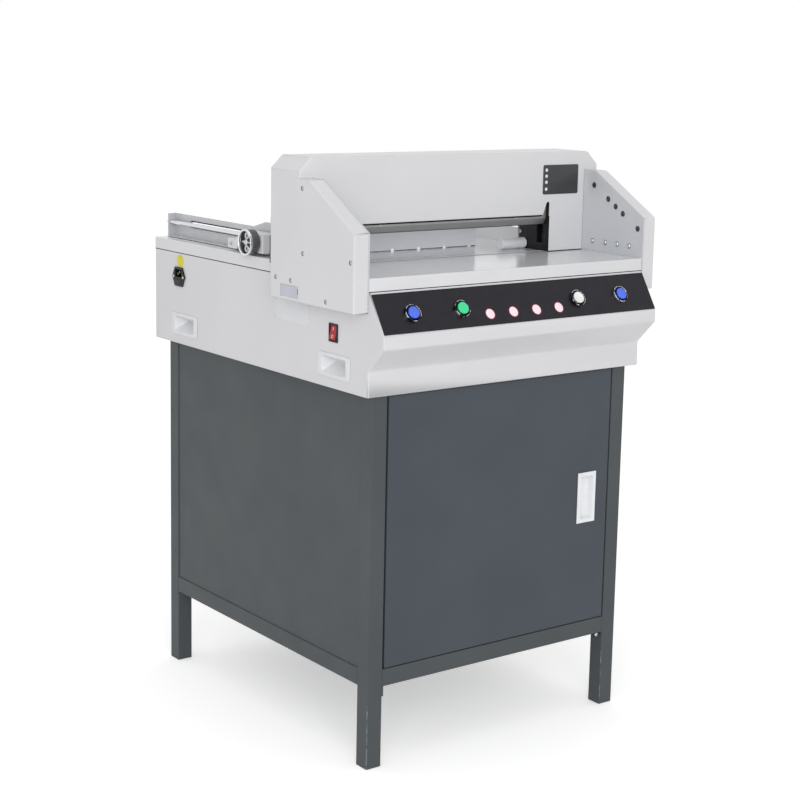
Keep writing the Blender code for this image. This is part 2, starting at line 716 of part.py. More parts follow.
def make_housing():
    """The folded sheet housing, open on top and with a turned-in flange at its foot."""
    outline = [(FRONT_Y, HOUSING_Z), (REAR_Y, HOUSING_Z), (REAR_Y, SLOPE_TOP_Z),
               (FRONT_Y, SLOPE_TOP_Z), (NOSE_Y, NOSE_TOP_Z), (NOSE_Y, NOSE_LOW_Z),
               (FRONT_Y, TOE_Z)]
    body = soften(prism(outline, "X", -HALF_WIDTH, HALF_WIDTH), FOLD_RADIUS, 3,
                  lies_at(2, HOUSING_Z, SLOPE_TOP_Z))
    housing = piece("lower_housing", body, "white_paint")
    inner = inset(outline, SHEET)
    slope = Vector(inner[3]) - Vector(inner[4])
    inner[3] = tuple(Vector(inner[3]) + slope * (OVERRUN / slope.y))
    inner[2] = (inner[2][0], inner[3][1])
    cut(housing, prism(inner, "X", -HALF_WIDTH + SHEET, HALF_WIDTH - SHEET),
        box((-HALF_WIDTH + FLANGE_WIDTH, FRONT_Y + FLANGE_WIDTH, HOUSING_Z - OVERRUN),
            (HALF_WIDTH - FLANGE_WIDTH, REAR_Y - FLANGE_WIDTH, HOUSING_Z + OVERRUN)))
    for _, frame in cup_frames():
        half = (CUP_LENGTH / 2 - CUP_RIM + FIT, CUP_HEIGHT / 2 - CUP_RIM / 2 + FIT)
        cut(housing, local_box(frame, (-half[0], -half[1], -OVERRUN), (*half, OVERRUN)))
    half = (ROCKER_WIDTH / 2 - ROCKER_RIM / 2 + FIT, ROCKER_HEIGHT / 2 - ROCKER_RIM / 2 + FIT)
    cut(housing, local_box(rocker_frame_place(), (-half[0], -half[1], -OVERRUN),
                           (*half, OVERRUN)))
    half = (INLET_BODY_WIDTH / 2 + FIT, INLET_BODY_HEIGHT / 2 + FIT)
    cut(housing, local_box(inlet_place(), (-half[0], -half[1], -OVERRUN), (*half, OVERRUN)))
    for _, _, place in button_places():
        cut(housing, rod(BARREL_RADIUS + FIT, place - SLOPE_OUT * OVERRUN,
                         place + SLOPE_OUT * OVERRUN, BUTTON_SIDES))
    piece("machine_bed",
          box((-HALF_WIDTH + SHEET + BED_MARGIN, FRONT_Y + SHEET + BED_MARGIN, BED_Z),
              (HALF_WIDTH - SHEET - BED_MARGIN, REAR_Y - SHEET - BED_MARGIN, BED_TOP_Z)),
          "dark_cast")


def make_carry_cups():
    """Moulded hand recesses that snap into the housing's side walls."""
    for name, frame in cup_frames():
        half = (CUP_LENGTH / 2 - CUP_RIM, CUP_HEIGHT / 2 - CUP_RIM / 2)
        cup = piece(name, local_box(frame, (-CUP_LENGTH / 2, -CUP_HEIGHT / 2, FIT),
                                    (CUP_LENGTH / 2, CUP_HEIGHT / 2, FIT + CUP_RIM_THICKNESS),
                                    SMALL_EDGE), "white_plastic")
        join(cup, local_box(frame, (-half[0], -half[1], -CUP_DEPTH),
                            (*half, CUP_RIM_THICKNESS / 2)))
        cut(cup, local_box(frame, (-half[0] + CUP_WALL, -half[1] + CUP_WALL,
                                   -CUP_DEPTH + CUP_WALL),
                           (half[0] - CUP_WALL, half[1] - CUP_WALL, OVERRUN)))


def make_rocker():
    """The lit power rocker: a snap-in frame and the rocker, resting with its head pressed in."""
    frame = rocker_frame_place()
    half = (ROCKER_WIDTH / 2 - ROCKER_RIM / 2, ROCKER_HEIGHT / 2 - ROCKER_RIM / 2)
    well = (ROCKER_WIDTH / 2 - ROCKER_RIM, ROCKER_HEIGHT / 2 - ROCKER_RIM)
    surround = piece("rocker_frame",
                     local_box(frame, (-ROCKER_WIDTH / 2, -ROCKER_HEIGHT / 2, FIT),
                               (ROCKER_WIDTH / 2, ROCKER_HEIGHT / 2, FIT + ROCKER_RIM_THICKNESS),
                               SMALL_EDGE), "black_plastic")
    join(surround, local_box(frame, (-half[0], -half[1], -ROCKER_DEPTH),
                             (*half, ROCKER_RIM_THICKNESS / 2)))
    cut(surround, local_box(frame, (-well[0], -well[1], -ROCKER_DEPTH + ROCKER_RIM / 2),
                            (*well, OVERRUN)))
    reach = well[1] - RUN
    drop = (well[1] - RUN) * math.sin(ROCKER_TILT)
    profile = [(-reach, -ROCKER_PLAY), (reach, -ROCKER_PLAY),
               (reach, ROCKER_PLAY), (0, ROCKER_PLAY - drop / 2), (-reach, ROCKER_PLAY)]
    bm = prism(profile, "X", -well[0] + RUN, well[0] - RUN)
    axis = frame.translation
    turn = Matrix.Rotation(-ROCKER_TILT, 4, "X")
    bmesh.ops.transform(bm, matrix=frame @ turn, verts=bm.verts)
    piece("rocker", bm, "red_plastic", at=axis)


def make_inlet():
    """The mains inlet socket with a fuse drawer below it; no cord belongs to the part."""
    frame = inlet_place()
    wide, tall = INLET_WIDTH / 2, INLET_HEIGHT / 2
    waist = wide * INLET_WAIST_SHARE
    hexagon = [(-wide, 0), (-waist, -tall), (waist, -tall), (wide, 0), (waist, tall),
               (-waist, tall)]
    flange = soften(prism(hexagon, "Z", FIT, FIT + INLET_FLANGE), SMALL_EDGE)
    bmesh.ops.transform(flange, matrix=frame, verts=flange.verts)
    inlet = piece("inlet_socket", flange, "black_plastic")
    body = (INLET_BODY_WIDTH / 2, INLET_BODY_HEIGHT / 2)
    join(inlet, local_box(frame, (-body[0], -body[1], -INLET_DEPTH), (*body, INLET_FLANGE / 2)))
    socket = (SOCKET_WIDTH / 2, SOCKET_HEIGHT / 2)
    cut(inlet, local_box(frame, (-socket[0], SOCKET_RISE - socket[1],
                                 INLET_FLANGE - SOCKET_DEPTH),
                         (socket[0], SOCKET_RISE + socket[1], INLET_FLANGE + OVERRUN)))
    fuse = (FUSE_WIDTH / 2, FUSE_HEIGHT / 2)
    grow = FIT
    cut(inlet, local_box(frame, (-fuse[0] - grow, -FUSE_DROP - fuse[1] - grow,
                                 INLET_FLANGE - FUSE_DEPTH - grow),
                         (fuse[0] + grow, -FUSE_DROP + fuse[1] + grow,
                          INLET_FLANGE + OVERRUN)))
    piece("fuse_drawer", local_box(frame, (-fuse[0], -FUSE_DROP - fuse[1],
                                           INLET_FLANGE - FUSE_DEPTH),
                                   (fuse[0], -FUSE_DROP + fuse[1], INLET_FLANGE + FUSE_LIP),
                                   SMALL_EDGE), "black_plastic",
          at=frame @ Vector((0, -FUSE_DROP, 0)))


def make_controls():
    """The black plate on the slope and its four push-buttons."""
    turn = Matrix((Vector((1, 0, 0)), SLOPE_UP, SLOPE_OUT)).transposed().to_4x4()
    frame = Matrix.Translation(SLOPE_FOOT) @ turn
    plate = piece("control_plate",
                  local_box(frame, (-HALF_WIDTH + PLATE_SIDE, PLATE_FOOT, FIT),
                            (HALF_WIDTH - PLATE_SIDE, SLOPE_LENGTH - PLATE_HEAD,
                             FIT + PLATE_THICKNESS)),
                  "black_plastic")
    seat = FIT + PLATE_THICKNESS + FIT
    for name, look, place in button_places():
        cut(plate, rod(BARREL_RADIUS + FIT, place - SLOPE_OUT * OVERRUN,
                       place + SLOPE_OUT * OVERRUN, BUTTON_SIDES))
        bezel = [(BARREL_BORE, seat), (BEZEL_RECESS_RADIUS, seat + FIT),
                 (BEZEL_RECESS_RADIUS, seat + BEZEL_LIP),
                 (BEZEL_CROWN_RADIUS, seat + BEZEL_HEIGHT),
                 (BEZEL_RADIUS - SMALL_EDGE, seat + BEZEL_HEIGHT),
                 (BEZEL_RADIUS, seat + BEZEL_HEIGHT - SMALL_EDGE), (BEZEL_RADIUS, seat),
                 (BARREL_RADIUS, seat), (BARREL_RADIUS, seat - BARREL_LENGTH),
                 (BARREL_BORE, seat - BARREL_LENGTH)]
        piece(f"button_bezel_{name}", turned(bezel, BUTTON_SIDES, place, SLOPE_OUT),
              "polished_steel")
        floor = seat + CAP_TRAVEL + CAP_CLEARANCE
        top = floor + CAP_THICKNESS
        cap = [(0, floor - CAP_STEM_LENGTH), (CAP_STEM_RADIUS, floor - CAP_STEM_LENGTH),
               (CAP_STEM_RADIUS, floor), (CAP_RADIUS, floor), (CAP_RADIUS, top - RUN),
               (CAP_RADIUS - RUN, top), (0, top)]
        piece(f"button_cap_{name}", turned(cap, BUTTON_SIDES, place, SLOPE_OUT), look,
              at=place)


def make_table():
    """The table slab with the low side lay at its right rear, and the cutting stick."""
    table = piece("work_table",
                  soften(box((-HALF_WIDTH, FRONT_Y, TABLE_LOW_Z), (HALF_WIDTH, REAR_Y, TABLE_Z)),
                         EDGE_RADIUS), "white_paint")
    stick_left, stick_right = THROAT_LEFT, THROAT_RIGHT
    groove_y = BLADE_Y + BLADE_THICKNESS - STICK_WIDTH / 2
    rod_half = ROD_WIDTH / 2 + RUN
    pocket_top = TABLE_Z - TABLE_TOP_PLATE
    cut(table,
        box((-HALF_WIDTH + TABLE_RIM, FRONT_Y + TABLE_RIM, TABLE_LOW_Z - OVERRUN),
            (HALF_WIDTH - TABLE_RIM, REAR_Y - TABLE_RIM, pocket_top)),
        box((stick_left - FIT, groove_y - FIT, TABLE_Z - STICK_DEPTH - FIT),
            (stick_right + FIT, groove_y + STICK_WIDTH + FIT, TABLE_Z + OVERRUN)),
        box((ROD_X - KNIFE_DRIFT - rod_half, ROD_Y - RUN, TABLE_LOW_Z - OVERRUN),
            (ROD_X + rod_half, ROD_Y + ROD_THICKNESS + RUN, TABLE_Z + OVERRUN)))
    lay_x = -RAIL_X
    join(table, box((lay_x, RAIL_FRONT_Y, TABLE_Z - RUN),
                    (lay_x + RAIL_WALL, REAR_Y - SIDE_LAY_REAR_MARGIN,
                     TABLE_Z + SIDE_LAY_HEIGHT)))
    piece("cutting_stick",
          box((stick_left, groove_y, TABLE_Z - STICK_DEPTH),
              (stick_right, groove_y + STICK_WIDTH, TABLE_Z - FIT)), "white_plastic")


def casing_outline(front):
    """A side casing seen from the right, in Y and Z, with its neck's front at a given Y."""
    return [(FRONT_Y, CASING_Z), (HEAD_REAR_Y, CASING_Z), (HEAD_REAR_Y, NECK_Z - FIT),
            (front, NECK_Z - FIT), (front, SHOULDER_Z), (SHOULDER_Y, SHOULDER_Z),
            (FRONT_Y, KNEE_Z)]


def sensor_points():
    """Centres of the light sensors on the right inner plate, in Y and Z."""
    start = Vector((HEAD_Y - SENSOR_FIRST_Y, SHOULDER_Z - SENSOR_FIRST_DROP))
    reach = Vector((-SENSOR_RUN, -(SHOULDER_Z - KNEE_Z) * SENSOR_FALL_SHARE))
    return [start + reach * share for share in SENSOR_SHARES]


def make_casings():
    """The two hollow side casings, the plates that close them and the sensor board."""
    outline = casing_outline(HEAD_Y + SHEET + FIT)
    for side, side_name in ((-1, "left"), (1, "right")):
        outer = sorted((side * CASING_X, side * OUTER_X))
        flush = lies_at(0, side * CASING_X)
        seat = lies_at(2, NECK_Z - FIT)
        nook = (lies_at(1, HEAD_Y), lies_at(2, SHOULDER_Z))
        body = soften(prism(casing_outline(HEAD_Y), "X", *outer), FOLD_RADIUS, 3,
                      lambda edge: flush(edge) or seat(edge) or nook[0](edge) and nook[1](edge))
        casing = piece(f"casing_{side_name}", body, "white_paint")
        hollow = sorted((side * (CASING_X - OVERRUN), side * (OUTER_X - SHEET)))
        cut(casing, prism(inset(outline, SHEET), "X", *hollow),
            box((outer[0] - OVERRUN, HEAD_Y - OVERRUN, SHOULDER_Z),
                (outer[1] + OVERRUN, HEAD_Y + SHEET + FIT, TOP_Z)))
        plate = sorted((side * LINER_X, side * (LINER_X + LINER_THICKNESS)))
        liner = piece(f"casing_liner_{side_name}", prism(outline, "X", *plate), "grey_metal")
        if side > 0:
            for y, z in sensor_points():
                cut(liner, rod(SENSOR_RADIUS + FIT, (LINER_X - OVERRUN, y, z),
                               (CASING_X + OVERRUN, y, z)))
    points = sensor_points()
    along = (points[-1] - points[0]).normalized()
    across = Vector((-along.y, along.x)) * (SENSOR_BOARD_WIDTH / 2)
    margin = along * (SENSOR_BOARD_WIDTH / 2)
    corners = [points[0] - margin - across, points[-1] + margin - across,
               points[-1] + margin + across, points[0] - margin + across]
    board = piece("sensor_board_right",
                  prism([tuple(corner) for corner in corners], "X", CASING_X,
                        CASING_X + SENSOR_BOARD), "black_plastic")
    for y, z in points:
        join(board, rod(SENSOR_RADIUS, (LINER_X - SENSOR_PROUD, y, z),
                        (CASING_X + SENSOR_BOARD / 2, y, z)))


def slot_points():
    """The slanted slot between the head's panel and its column, from its foot up and over."""
    top = PANEL_Z + SLOT_HEIGHT
    radius = SLOT_HEAD / 2
    centre = (COLUMN_X - radius, top - radius)
    arc = []
    steps = 6
    for step in range(steps + 1):
        angle = math.pi * (1 - step / steps)
        arc.append((centre[0] + radius * math.cos(angle), centre[1] + radius * math.sin(angle)))
    return [(COLUMN_X - SLOT_FOOT, PANEL_Z)] + arc


def make_head_covers():
    """The front cover, with its top and its right column, and the rear cover."""
    low = SHOULDER_Z + FIT
    outline = ([(-HALF_WIDTH, PANEL_Z)] + slot_points()
               + [(COLUMN_X, ON_TABLE_Z), (HALF_WIDTH, ON_TABLE_Z), (HALF_WIDTH, low),
                  (OUTER_X, low), (OUTER_X, NECK_Z), (OUTER_X - CHAMFER_RUN, TOP_Z),
                  (-OUTER_X + CHAMFER_RUN, TOP_Z), (-OUTER_X, NECK_Z), (-OUTER_X, low),
                  (-HALF_WIDTH, low)])
    body = soften(prism(outline, "Y", HEAD_Y, HEAD_REAR_Y), FOLD_RADIUS, 3,
                  lambda edge: min(vert.co.z for vert in edge.verts) < NECK_Z - FIT
                  or lies_at(1, HEAD_REAR_Y)(edge))
    cover = piece("head_front_cover", body, "white_paint")
    cap = [(OUTER_X, NECK_Z), (OUTER_X - CHAMFER_RUN, TOP_Z), (-OUTER_X + CHAMFER_RUN, TOP_Z),
           (-OUTER_X, NECK_Z)]
    inner = folded(cap, SHEET)[4:]
    rise = Vector(inner[-1]) - Vector(inner[-2])
    foot = [(x, NECK_Z) for x in (abs(inner[0][0]), -abs(inner[-1][0]))]
    side = OUTER_X + OVERRUN
    slack = SHEET * CHAMFER_RUN / abs(rise.y)
    cavity = [(-side, HOUSING_Z), (side, HOUSING_Z), (side, NECK_Z),
              (foot[0][0] - slack, NECK_Z), inner[2], inner[1], (foot[1][0] + slack, NECK_Z),
              (-side, NECK_Z)]
    cut(cover, prism(cavity, "Y", HEAD_Y + SHEET, HEAD_REAR_Y + OVERRUN))
    make_rear_cover()


def make_rear_cover():
    """The flat sheet that closes the head's back, inside the cap and between the casings."""
    low = TABLE_Z + REAR_THROAT_HEIGHT
    neck = NECK_Z + FIT
    top = TOP_Z - SHEET - FIT
    lean = CHAMFER_RUN / CHAMFER_RISE
    wall = SHEET * math.hypot(1, lean) + REAR_COVER_CLEARANCE
    foot_x = OUTER_X - wall - (neck - NECK_Z) * lean
    head_x = OUTER_X - wall - (top - NECK_Z) * lean
    outline = [(-HALF_WIDTH, low), (COLUMN_X, low), (COLUMN_X, ON_TABLE_Z),
               (HALF_WIDTH, ON_TABLE_Z), (HALF_WIDTH, neck), (foot_x, neck), (head_x, top),
               (-head_x, top), (-foot_x, neck), (-HALF_WIDTH, neck)]
    piece("head_rear_cover", prism(outline, "Y", HEAD_REAR_Y - SHEET, HEAD_REAR_Y),
          "white_paint")


def make_uprights():
    """The cast side frames of the head, slotted for the knife carrier's ends."""
    rear = IN_HEAD_Y + UPRIGHT_DEPTH
    top = ON_TABLE_Z + UPRIGHT_HEIGHT
    slot_low = EDGE_Z + CARRIER_ABOVE_EDGE - KNIFE_DROP - CARRIER_FOOT_CLEARANCE
    for name, low_x in (("upright_left", -HALF_WIDTH), ("upright_right", UPRIGHT_X)):
        upright = piece(name, box((low_x, IN_HEAD_Y, ON_TABLE_Z),
                                  (low_x + UPRIGHT_THICKNESS, rear, top)), "dark_cast")
        cut(upright, box((low_x - OVERRUN, CARRIER_Y - RUN, slot_low),
                         (low_x + UPRIGHT_THICKNESS + OVERRUN,
                          CARRIER_Y + CARRIER_THICKNESS + RUN, top + OVERRUN)))


def guide_pin_places():
    """X of the two guide pins, and their height."""
    width = THROAT_RIGHT - BLADE_LEFT
    return [BLADE_LEFT + width * share for share in (GUIDE_PIN_LEFT_SHARE,
                                                     GUIDE_PIN_RIGHT_SHARE)]


def make_knife():
    """The knife carrier with its slanted guide slots, and the blade on its front."""
    low = EDGE_Z + CARRIER_ABOVE_EDGE
    start = (BLADE_LEFT, EDGE_Z)
    carrier = piece("knife_carrier",
                    soften(box((BLADE_LEFT, CARRIER_Y, low),
                               (CARRIER_RIGHT, CARRIER_Y + CARRIER_THICKNESS,
                                low + CARRIER_HEIGHT)), EDGE_RADIUS), "dark_cast",
                    at=(start[0], CARRIER_Y, start[1]))
    pin_z = EDGE_Z + GUIDE_PIN_ABOVE_EDGE
    width = GUIDE_PIN_RADIUS + RUN
    for x in guide_pin_places():
        slot = hull_outline((x, pin_z), width, (x + KNIFE_DRIFT, pin_z + KNIFE_DROP), width, 8)
        cut(carrier, prism(slot, "Y", CARRIER_Y - OVERRUN,
                           CARRIER_Y + CARRIER_THICKNESS + OVERRUN))
    cut(carrier, rod(ROD_PIN_RADIUS + FIT, (ROD_X, CARRIER_Y - OVERRUN, ROD_PIN_Z),
                     (ROD_X, CARRIER_Y + CARRIER_THICKNESS + OVERRUN, ROD_PIN_Z)))
    back = BLADE_Y + BLADE_THICKNESS
    section = [(back, EDGE_Z), (back, EDGE_Z + BLADE_HEIGHT), (BLADE_Y, EDGE_Z + BLADE_HEIGHT),
               (BLADE_Y, EDGE_Z + BLADE_BEVEL), (back - SMALL_EDGE, EDGE_Z)]
    piece("knife_blade", prism(section, "X", BLADE_LEFT, THROAT_RIGHT), "polished_steel",
          at=(start[0], CARRIER_Y, start[1]))


def make_clamp_and_beam():
    """The clamp bar on its two posts, and the fixed beam that guides posts and carrier."""
    clamp = piece("clamp_bar",
                  soften(box((THROAT_LEFT, CLAMP_Y, CLAMP_Z),
                             (THROAT_RIGHT, CLAMP_REAR_Y, CLAMP_TOP_Z)), EDGE_RADIUS),
                  "grey_metal", at=(0, CLAMP_Y, CLAMP_Z))
    beam_rear = BEAM_Y + CLAMP_THICKNESS
    beam = piece("head_beam", box((-HALF_WIDTH + UPRIGHT_THICKNESS + FIT, BEAM_Y, BEAM_Z),
                                  (COLUMN_X, beam_rear, BEAM_Z + BEAM_HEIGHT)), "dark_cast")
    post_y = (CLAMP_Y + beam_rear) / 2
    for x in (THROAT_LEFT + POST_INSET, THROAT_RIGHT - POST_INSET):
        join(clamp, rod(POST_RADIUS, (x, post_y, CLAMP_Z + CLAMP_HEIGHT / 2),
                        (x, post_y, CLAMP_TOP_Z + POST_HEIGHT)))
        cut(beam, rod(POST_RADIUS + FIT, (x, post_y, BEAM_Z - OVERRUN),
                      (x, post_y, BEAM_Z + BEAM_HEIGHT + OVERRUN)))
    pin_z = EDGE_Z + GUIDE_PIN_ABOVE_EDGE
    for x in guide_pin_places():
        join(beam, rod(GUIDE_PIN_RADIUS, (x, CARRIER_Y + FIT, pin_z),
                       (x, BEAM_Y + POST_RADIUS, pin_z)))


def make_drive():
    """The geared motor on the bed, the crank on its shaft and the pull rod to the carrier."""
    centre = Vector((ROD_X, 0, CRANK_Z))
    low = (ROD_X - GEARBOX_WIDTH / 2, GEARBOX_Y, CRANK_Z - GEARBOX_HEIGHT / 2)
    high = (ROD_X + GEARBOX_WIDTH / 2, GEARBOX_Y + GEARBOX_DEPTH, CRANK_Z + GEARBOX_HEIGHT / 2)
    motor = piece("gear_motor", soften(box(low, high), EDGE_RADIUS), "motor_paint")
    middle_y = GEARBOX_Y + GEARBOX_DEPTH / 2
    foot_z = BED_TOP_Z + FIT
    motor_end = low[0] - MOTOR_LENGTH
    join(motor,
         rod(MOTOR_RADIUS, (motor_end, middle_y, CRANK_Z),
             (low[0] + OVERRUN, middle_y, CRANK_Z), BUTTON_SIDES),
         box((low[0] + EDGE_RADIUS, GEARBOX_Y + EDGE_RADIUS, foot_z),
             (high[0] - EDGE_RADIUS, high[1] - EDGE_RADIUS, CRANK_Z)),
         box((motor_end + TUBE, middle_y - MOTOR_FOOT_WIDTH / 2, foot_z),
             (motor_end + TUBE + MOTOR_FOOT_WIDTH, middle_y + MOTOR_FOOT_WIDTH / 2, CRANK_Z)))
    cut(motor, rod(SHAFT_RADIUS + FIT, (ROD_X, GEARBOX_Y - OVERRUN, CRANK_Z),
                   (ROD_X, GEARBOX_Y + SHAFT_ENGAGEMENT + FIT, CRANK_Z)))
    pin = (ROD_X, CRANK_Z + CRANK_RADIUS)
    arm = prism(hull_outline((ROD_X, CRANK_Z), CRANK_HUB_RADIUS, pin, CRANK_END_RADIUS, 12),
                "Y", CRANK_Y, CRANK_Y + CRANK_THICKNESS)
    crank = piece("crank_arm", arm, "grey_metal", at=centre + Vector((0, CRANK_Y, 0)))
    join(crank, rod(SHAFT_RADIUS, (ROD_X, CRANK_Y + CRANK_THICKNESS / 2, CRANK_Z),
                    (ROD_X, GEARBOX_Y + SHAFT_ENGAGEMENT, CRANK_Z)))
    link = piece("pull_rod",
                 box((ROD_X - ROD_WIDTH / 2, ROD_Y, pin[1]),
                     (ROD_X + ROD_WIDTH / 2, ROD_Y + ROD_THICKNESS, ROD_PIN_Z)),
                 "grey_metal", at=(BLADE_LEFT, CARRIER_Y, EDGE_Z))
    join(link,
         rod(ROD_EYE_RADIUS, (ROD_X, ROD_Y, pin[1]), (ROD_X, ROD_Y + ROD_THICKNESS, pin[1]),
             BUTTON_SIDES),
         rod(ROD_EYE_RADIUS, (ROD_X, ROD_Y, ROD_PIN_Z),
             (ROD_X, ROD_Y + ROD_THICKNESS, ROD_PIN_Z), BUTTON_SIDES),
         rod(ROD_PIN_RADIUS, (ROD_X, CARRIER_Y + FIT, ROD_PIN_Z),
             (ROD_X, ROD_Y + ROD_THICKNESS / 2, ROD_PIN_Z)))


def make_backgauge_rail():
    """The slotted wall on the table's left, with its ledge and rear lug, and the guide rod."""
    plate_z = TABLE_Z + RAIL_PLATE_HEIGHT
    wall_z = TABLE_Z + RAIL_HEIGHT
    plate_y = HEAD_REAR_Y + RAIL_PLATE_END
    outline = [(RAIL_FRONT_Y, ON_TABLE_Z), (RAIL_REAR_Y, ON_TABLE_Z), (RAIL_REAR_Y, wall_z),
               (plate_y + RAIL_PLATE_RAMP, wall_z), (plate_y, plate_z),
               (RAIL_FRONT_Y, plate_z)]
    rail = piece("gauge_rail", prism(outline, "X", RAIL_X, RAIL_X + RAIL_WALL), "grey_metal")
    lug_y = RAIL_REAR_Y - RUN
    ledge_x = GUIDE_ROD_X - GUIDE_ROD_RADIUS - LUG_WALL
    join(rail,
         box((ledge_x, RAIL_FRONT_Y, ON_TABLE_Z),
             (RAIL_X + RAIL_WALL / 2, RAIL_REAR_Y - FIT, ON_TABLE_Z + LEDGE_THICKNESS)),
         box((ledge_x, lug_y - LUG_DEPTH, ON_TABLE_Z + LEDGE_THICKNESS / 2),
             (RAIL_X + RAIL_WALL / 2, lug_y, wall_z - SMALL_EDGE)))
    half = RAIL_SLOT_HEIGHT / 2
    cut(rail,
        box((RAIL_X - OVERRUN, HEAD_REAR_Y + RAIL_SLOT_START, GUIDE_ROD_Z - half),
            (RAIL_X + RAIL_WALL + OVERRUN, RAIL_REAR_Y - RAIL_SLOT_REAR_MARGIN,
             GUIDE_ROD_Z + half)),
        rod(GUIDE_ROD_RADIUS + FIT, (GUIDE_ROD_X, lug_y - LUG_DEPTH - OVERRUN, GUIDE_ROD_Z),
            (GUIDE_ROD_X, REAR_Y + OVERRUN, GUIDE_ROD_Z)))
    piece("gauge_guide_rod", rod(GUIDE_ROD_RADIUS, (GUIDE_ROD_X, RAIL_FRONT_Y, GUIDE_ROD_Z),
                                 (GUIDE_ROD_X, REAR_Y, GUIDE_ROD_Z)), "polished_steel")


def make_backgauge():
    """The carriage on the guide rod, the fence that it moves and its hand wheel."""
    origin = (GUIDE_ROD_X, CARRIAGE_Y, GUIDE_ROD_Z)
    rear = CARRIAGE_Y + CARRIAGE_LENGTH
    boss_rear = CARRIAGE_Y + CARRIAGE_BOSS_LENGTH
    top = CARRIAGE_Z + CARRIAGE_HEIGHT
    tail_top = GUIDE_ROD_Z - GUIDE_ROD_RADIUS - CARRIAGE_TAIL_DROP
    outline = [(CARRIAGE_Y, CARRIAGE_Z), (rear, CARRIAGE_Z), (rear, tail_top),
               (boss_rear, tail_top), (boss_rear, top), (CARRIAGE_Y, top)]
    carriage = piece("gauge_carriage",
                     soften(prism(outline, "X", CARRIAGE_LEFT, CARRIAGE_RIGHT), EDGE_RADIUS),
                     "grey_metal", at=origin)
    neck_y = CARRIAGE_Y + NECK_START
    join(carriage,
         box((CARRIAGE_RIGHT - RUN, neck_y, GUIDE_ROD_Z - NECK_THICKNESS / 2),
             (PAD_X + PAD_THICKNESS / 2, neck_y + NECK_LENGTH,
              GUIDE_ROD_Z + NECK_THICKNESS / 2)),
         box((PAD_X, neck_y, GUIDE_ROD_Z - PAD_HEIGHT / 2),
             (PAD_X + PAD_THICKNESS, neck_y + NECK_LENGTH, GUIDE_ROD_Z + PAD_HEIGHT / 2)))
    bore_end = CARRIAGE_LEFT + WHEEL_SHAFT_ENGAGEMENT + FIT
    cut(carriage,
        rod(GUIDE_ROD_RADIUS + FIT, (GUIDE_ROD_X, CARRIAGE_Y - OVERRUN, GUIDE_ROD_Z),
            (GUIDE_ROD_X, rear + OVERRUN, GUIDE_ROD_Z)),
        rod(WHEEL_SHAFT_RADIUS + FIT, (CARRIAGE_LEFT - OVERRUN, WHEEL_Y, WHEEL_Z),
            (bore_end, WHEEL_Y, WHEEL_Z)))
    make_fence(origin)
    make_hand_wheel()


def make_fence(origin):
    """The backgauge: an angle plate whose foot is notched like a comb."""
    path = [(GAUGE_X, HEAD_REAR_Y + CARRIAGE_FRONT + GAUGE_ARM_REAR), (GAUGE_X, GAUGE_Y),
            (GAUGE_RIGHT, GAUGE_Y)]
    fence = piece("backgauge", prism(folded(path, GAUGE_PLATE), "Z", GAUGE_Z,
                                     GAUGE_Z + GAUGE_HEIGHT), "white_paint", at=origin)
    x = GAUGE_RIGHT - COMB_FIRST
    while x - COMB_NOTCH > GAUGE_X + GAUGE_PLATE:
        cut(fence, box((x - COMB_NOTCH, GAUGE_Y - OVERRUN, GAUGE_Z - OVERRUN),
                       (x, GAUGE_Y + GAUGE_PLATE + OVERRUN, GAUGE_Z + COMB_NOTCH_HEIGHT)))
        x -= COMB_PITCH


def make_hand_wheel():
    """The hand wheel that winds the carriage: rim, dished face, hub and shaft."""
    face = WHEEL_WIDTH + RUN
    bowl = face - WHEEL_RECESS
    inner = WHEEL_RADIUS - WHEEL_RIM
    profile = [(0, -WHEEL_SHAFT_ENGAGEMENT), (WHEEL_SHAFT_RADIUS, -WHEEL_SHAFT_ENGAGEMENT),
               (WHEEL_SHAFT_RADIUS, RUN), (WHEEL_RADIUS - RUN, RUN),
               (WHEEL_RADIUS - RUN, bowl), (WHEEL_RADIUS, bowl + RUN),
               (WHEEL_RADIUS, face - RUN), (WHEEL_RADIUS - RUN, face), (inner, face),
               (inner, bowl), (WHEEL_HUB_RADIUS, bowl), (WHEEL_HUB_RADIUS, face - RUN),
               (0, face - RUN)]
    hub = (CARRIAGE_LEFT, WHEEL_Y, WHEEL_Z)
    piece("hand_wheel", turned(profile, WHEEL_SIDES, hub, LEFT_OUT), "polished_steel", at=hub)


def make_guide_bar():
    """The round white bar at the throat's right rear, bolted to the upright."""
    y = IN_HEAD_Y + UPRIGHT_DEPTH - GUIDE_BAR_INSET
    z = ON_TABLE_Z + GUIDE_BAR_RADIUS
    profile = [(0, 0), (GUIDE_BAR_RADIUS - RUN, 0), (GUIDE_BAR_RADIUS, RUN),
               (GUIDE_BAR_RADIUS, GUIDE_BAR_LENGTH - RUN),
               (GUIDE_BAR_RADIUS - RUN, GUIDE_BAR_LENGTH), (0, GUIDE_BAR_LENGTH)]
    piece("guide_bar", turned(profile, BUTTON_SIDES, (COLUMN_X, y, z), LEFT_OUT),
          "white_plastic")


def build():
    """Makes every piece of the machine."""
    for old in list(bpy.data.objects):
        bpy.data.objects.remove(old, do_unlink=True)
    make_stand()
    make_door()
    make_housing()
    make_carry_cups()
    make_rocker()
    make_inlet()
    make_controls()
    make_table()
    make_casings()
    make_head_covers()
    make_uprights()
    make_knife()
    make_clamp_and_beam()
    make_drive()
    make_backgauge_rail()
    make_backgauge()
    make_guide_bar()


build()
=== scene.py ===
"""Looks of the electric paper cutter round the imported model: finishes, small parts and studio.

Metres, +Z up, front towards -Y. Helpers that take millimetres say so. Texture places are object
coordinates, which are the same as places in the part's frame at rest. Turned parts are drawn as
closed profiles of (radius, height).
"""
import math
import random

import bmesh
import bpy
from mathutils import Matrix, Vector


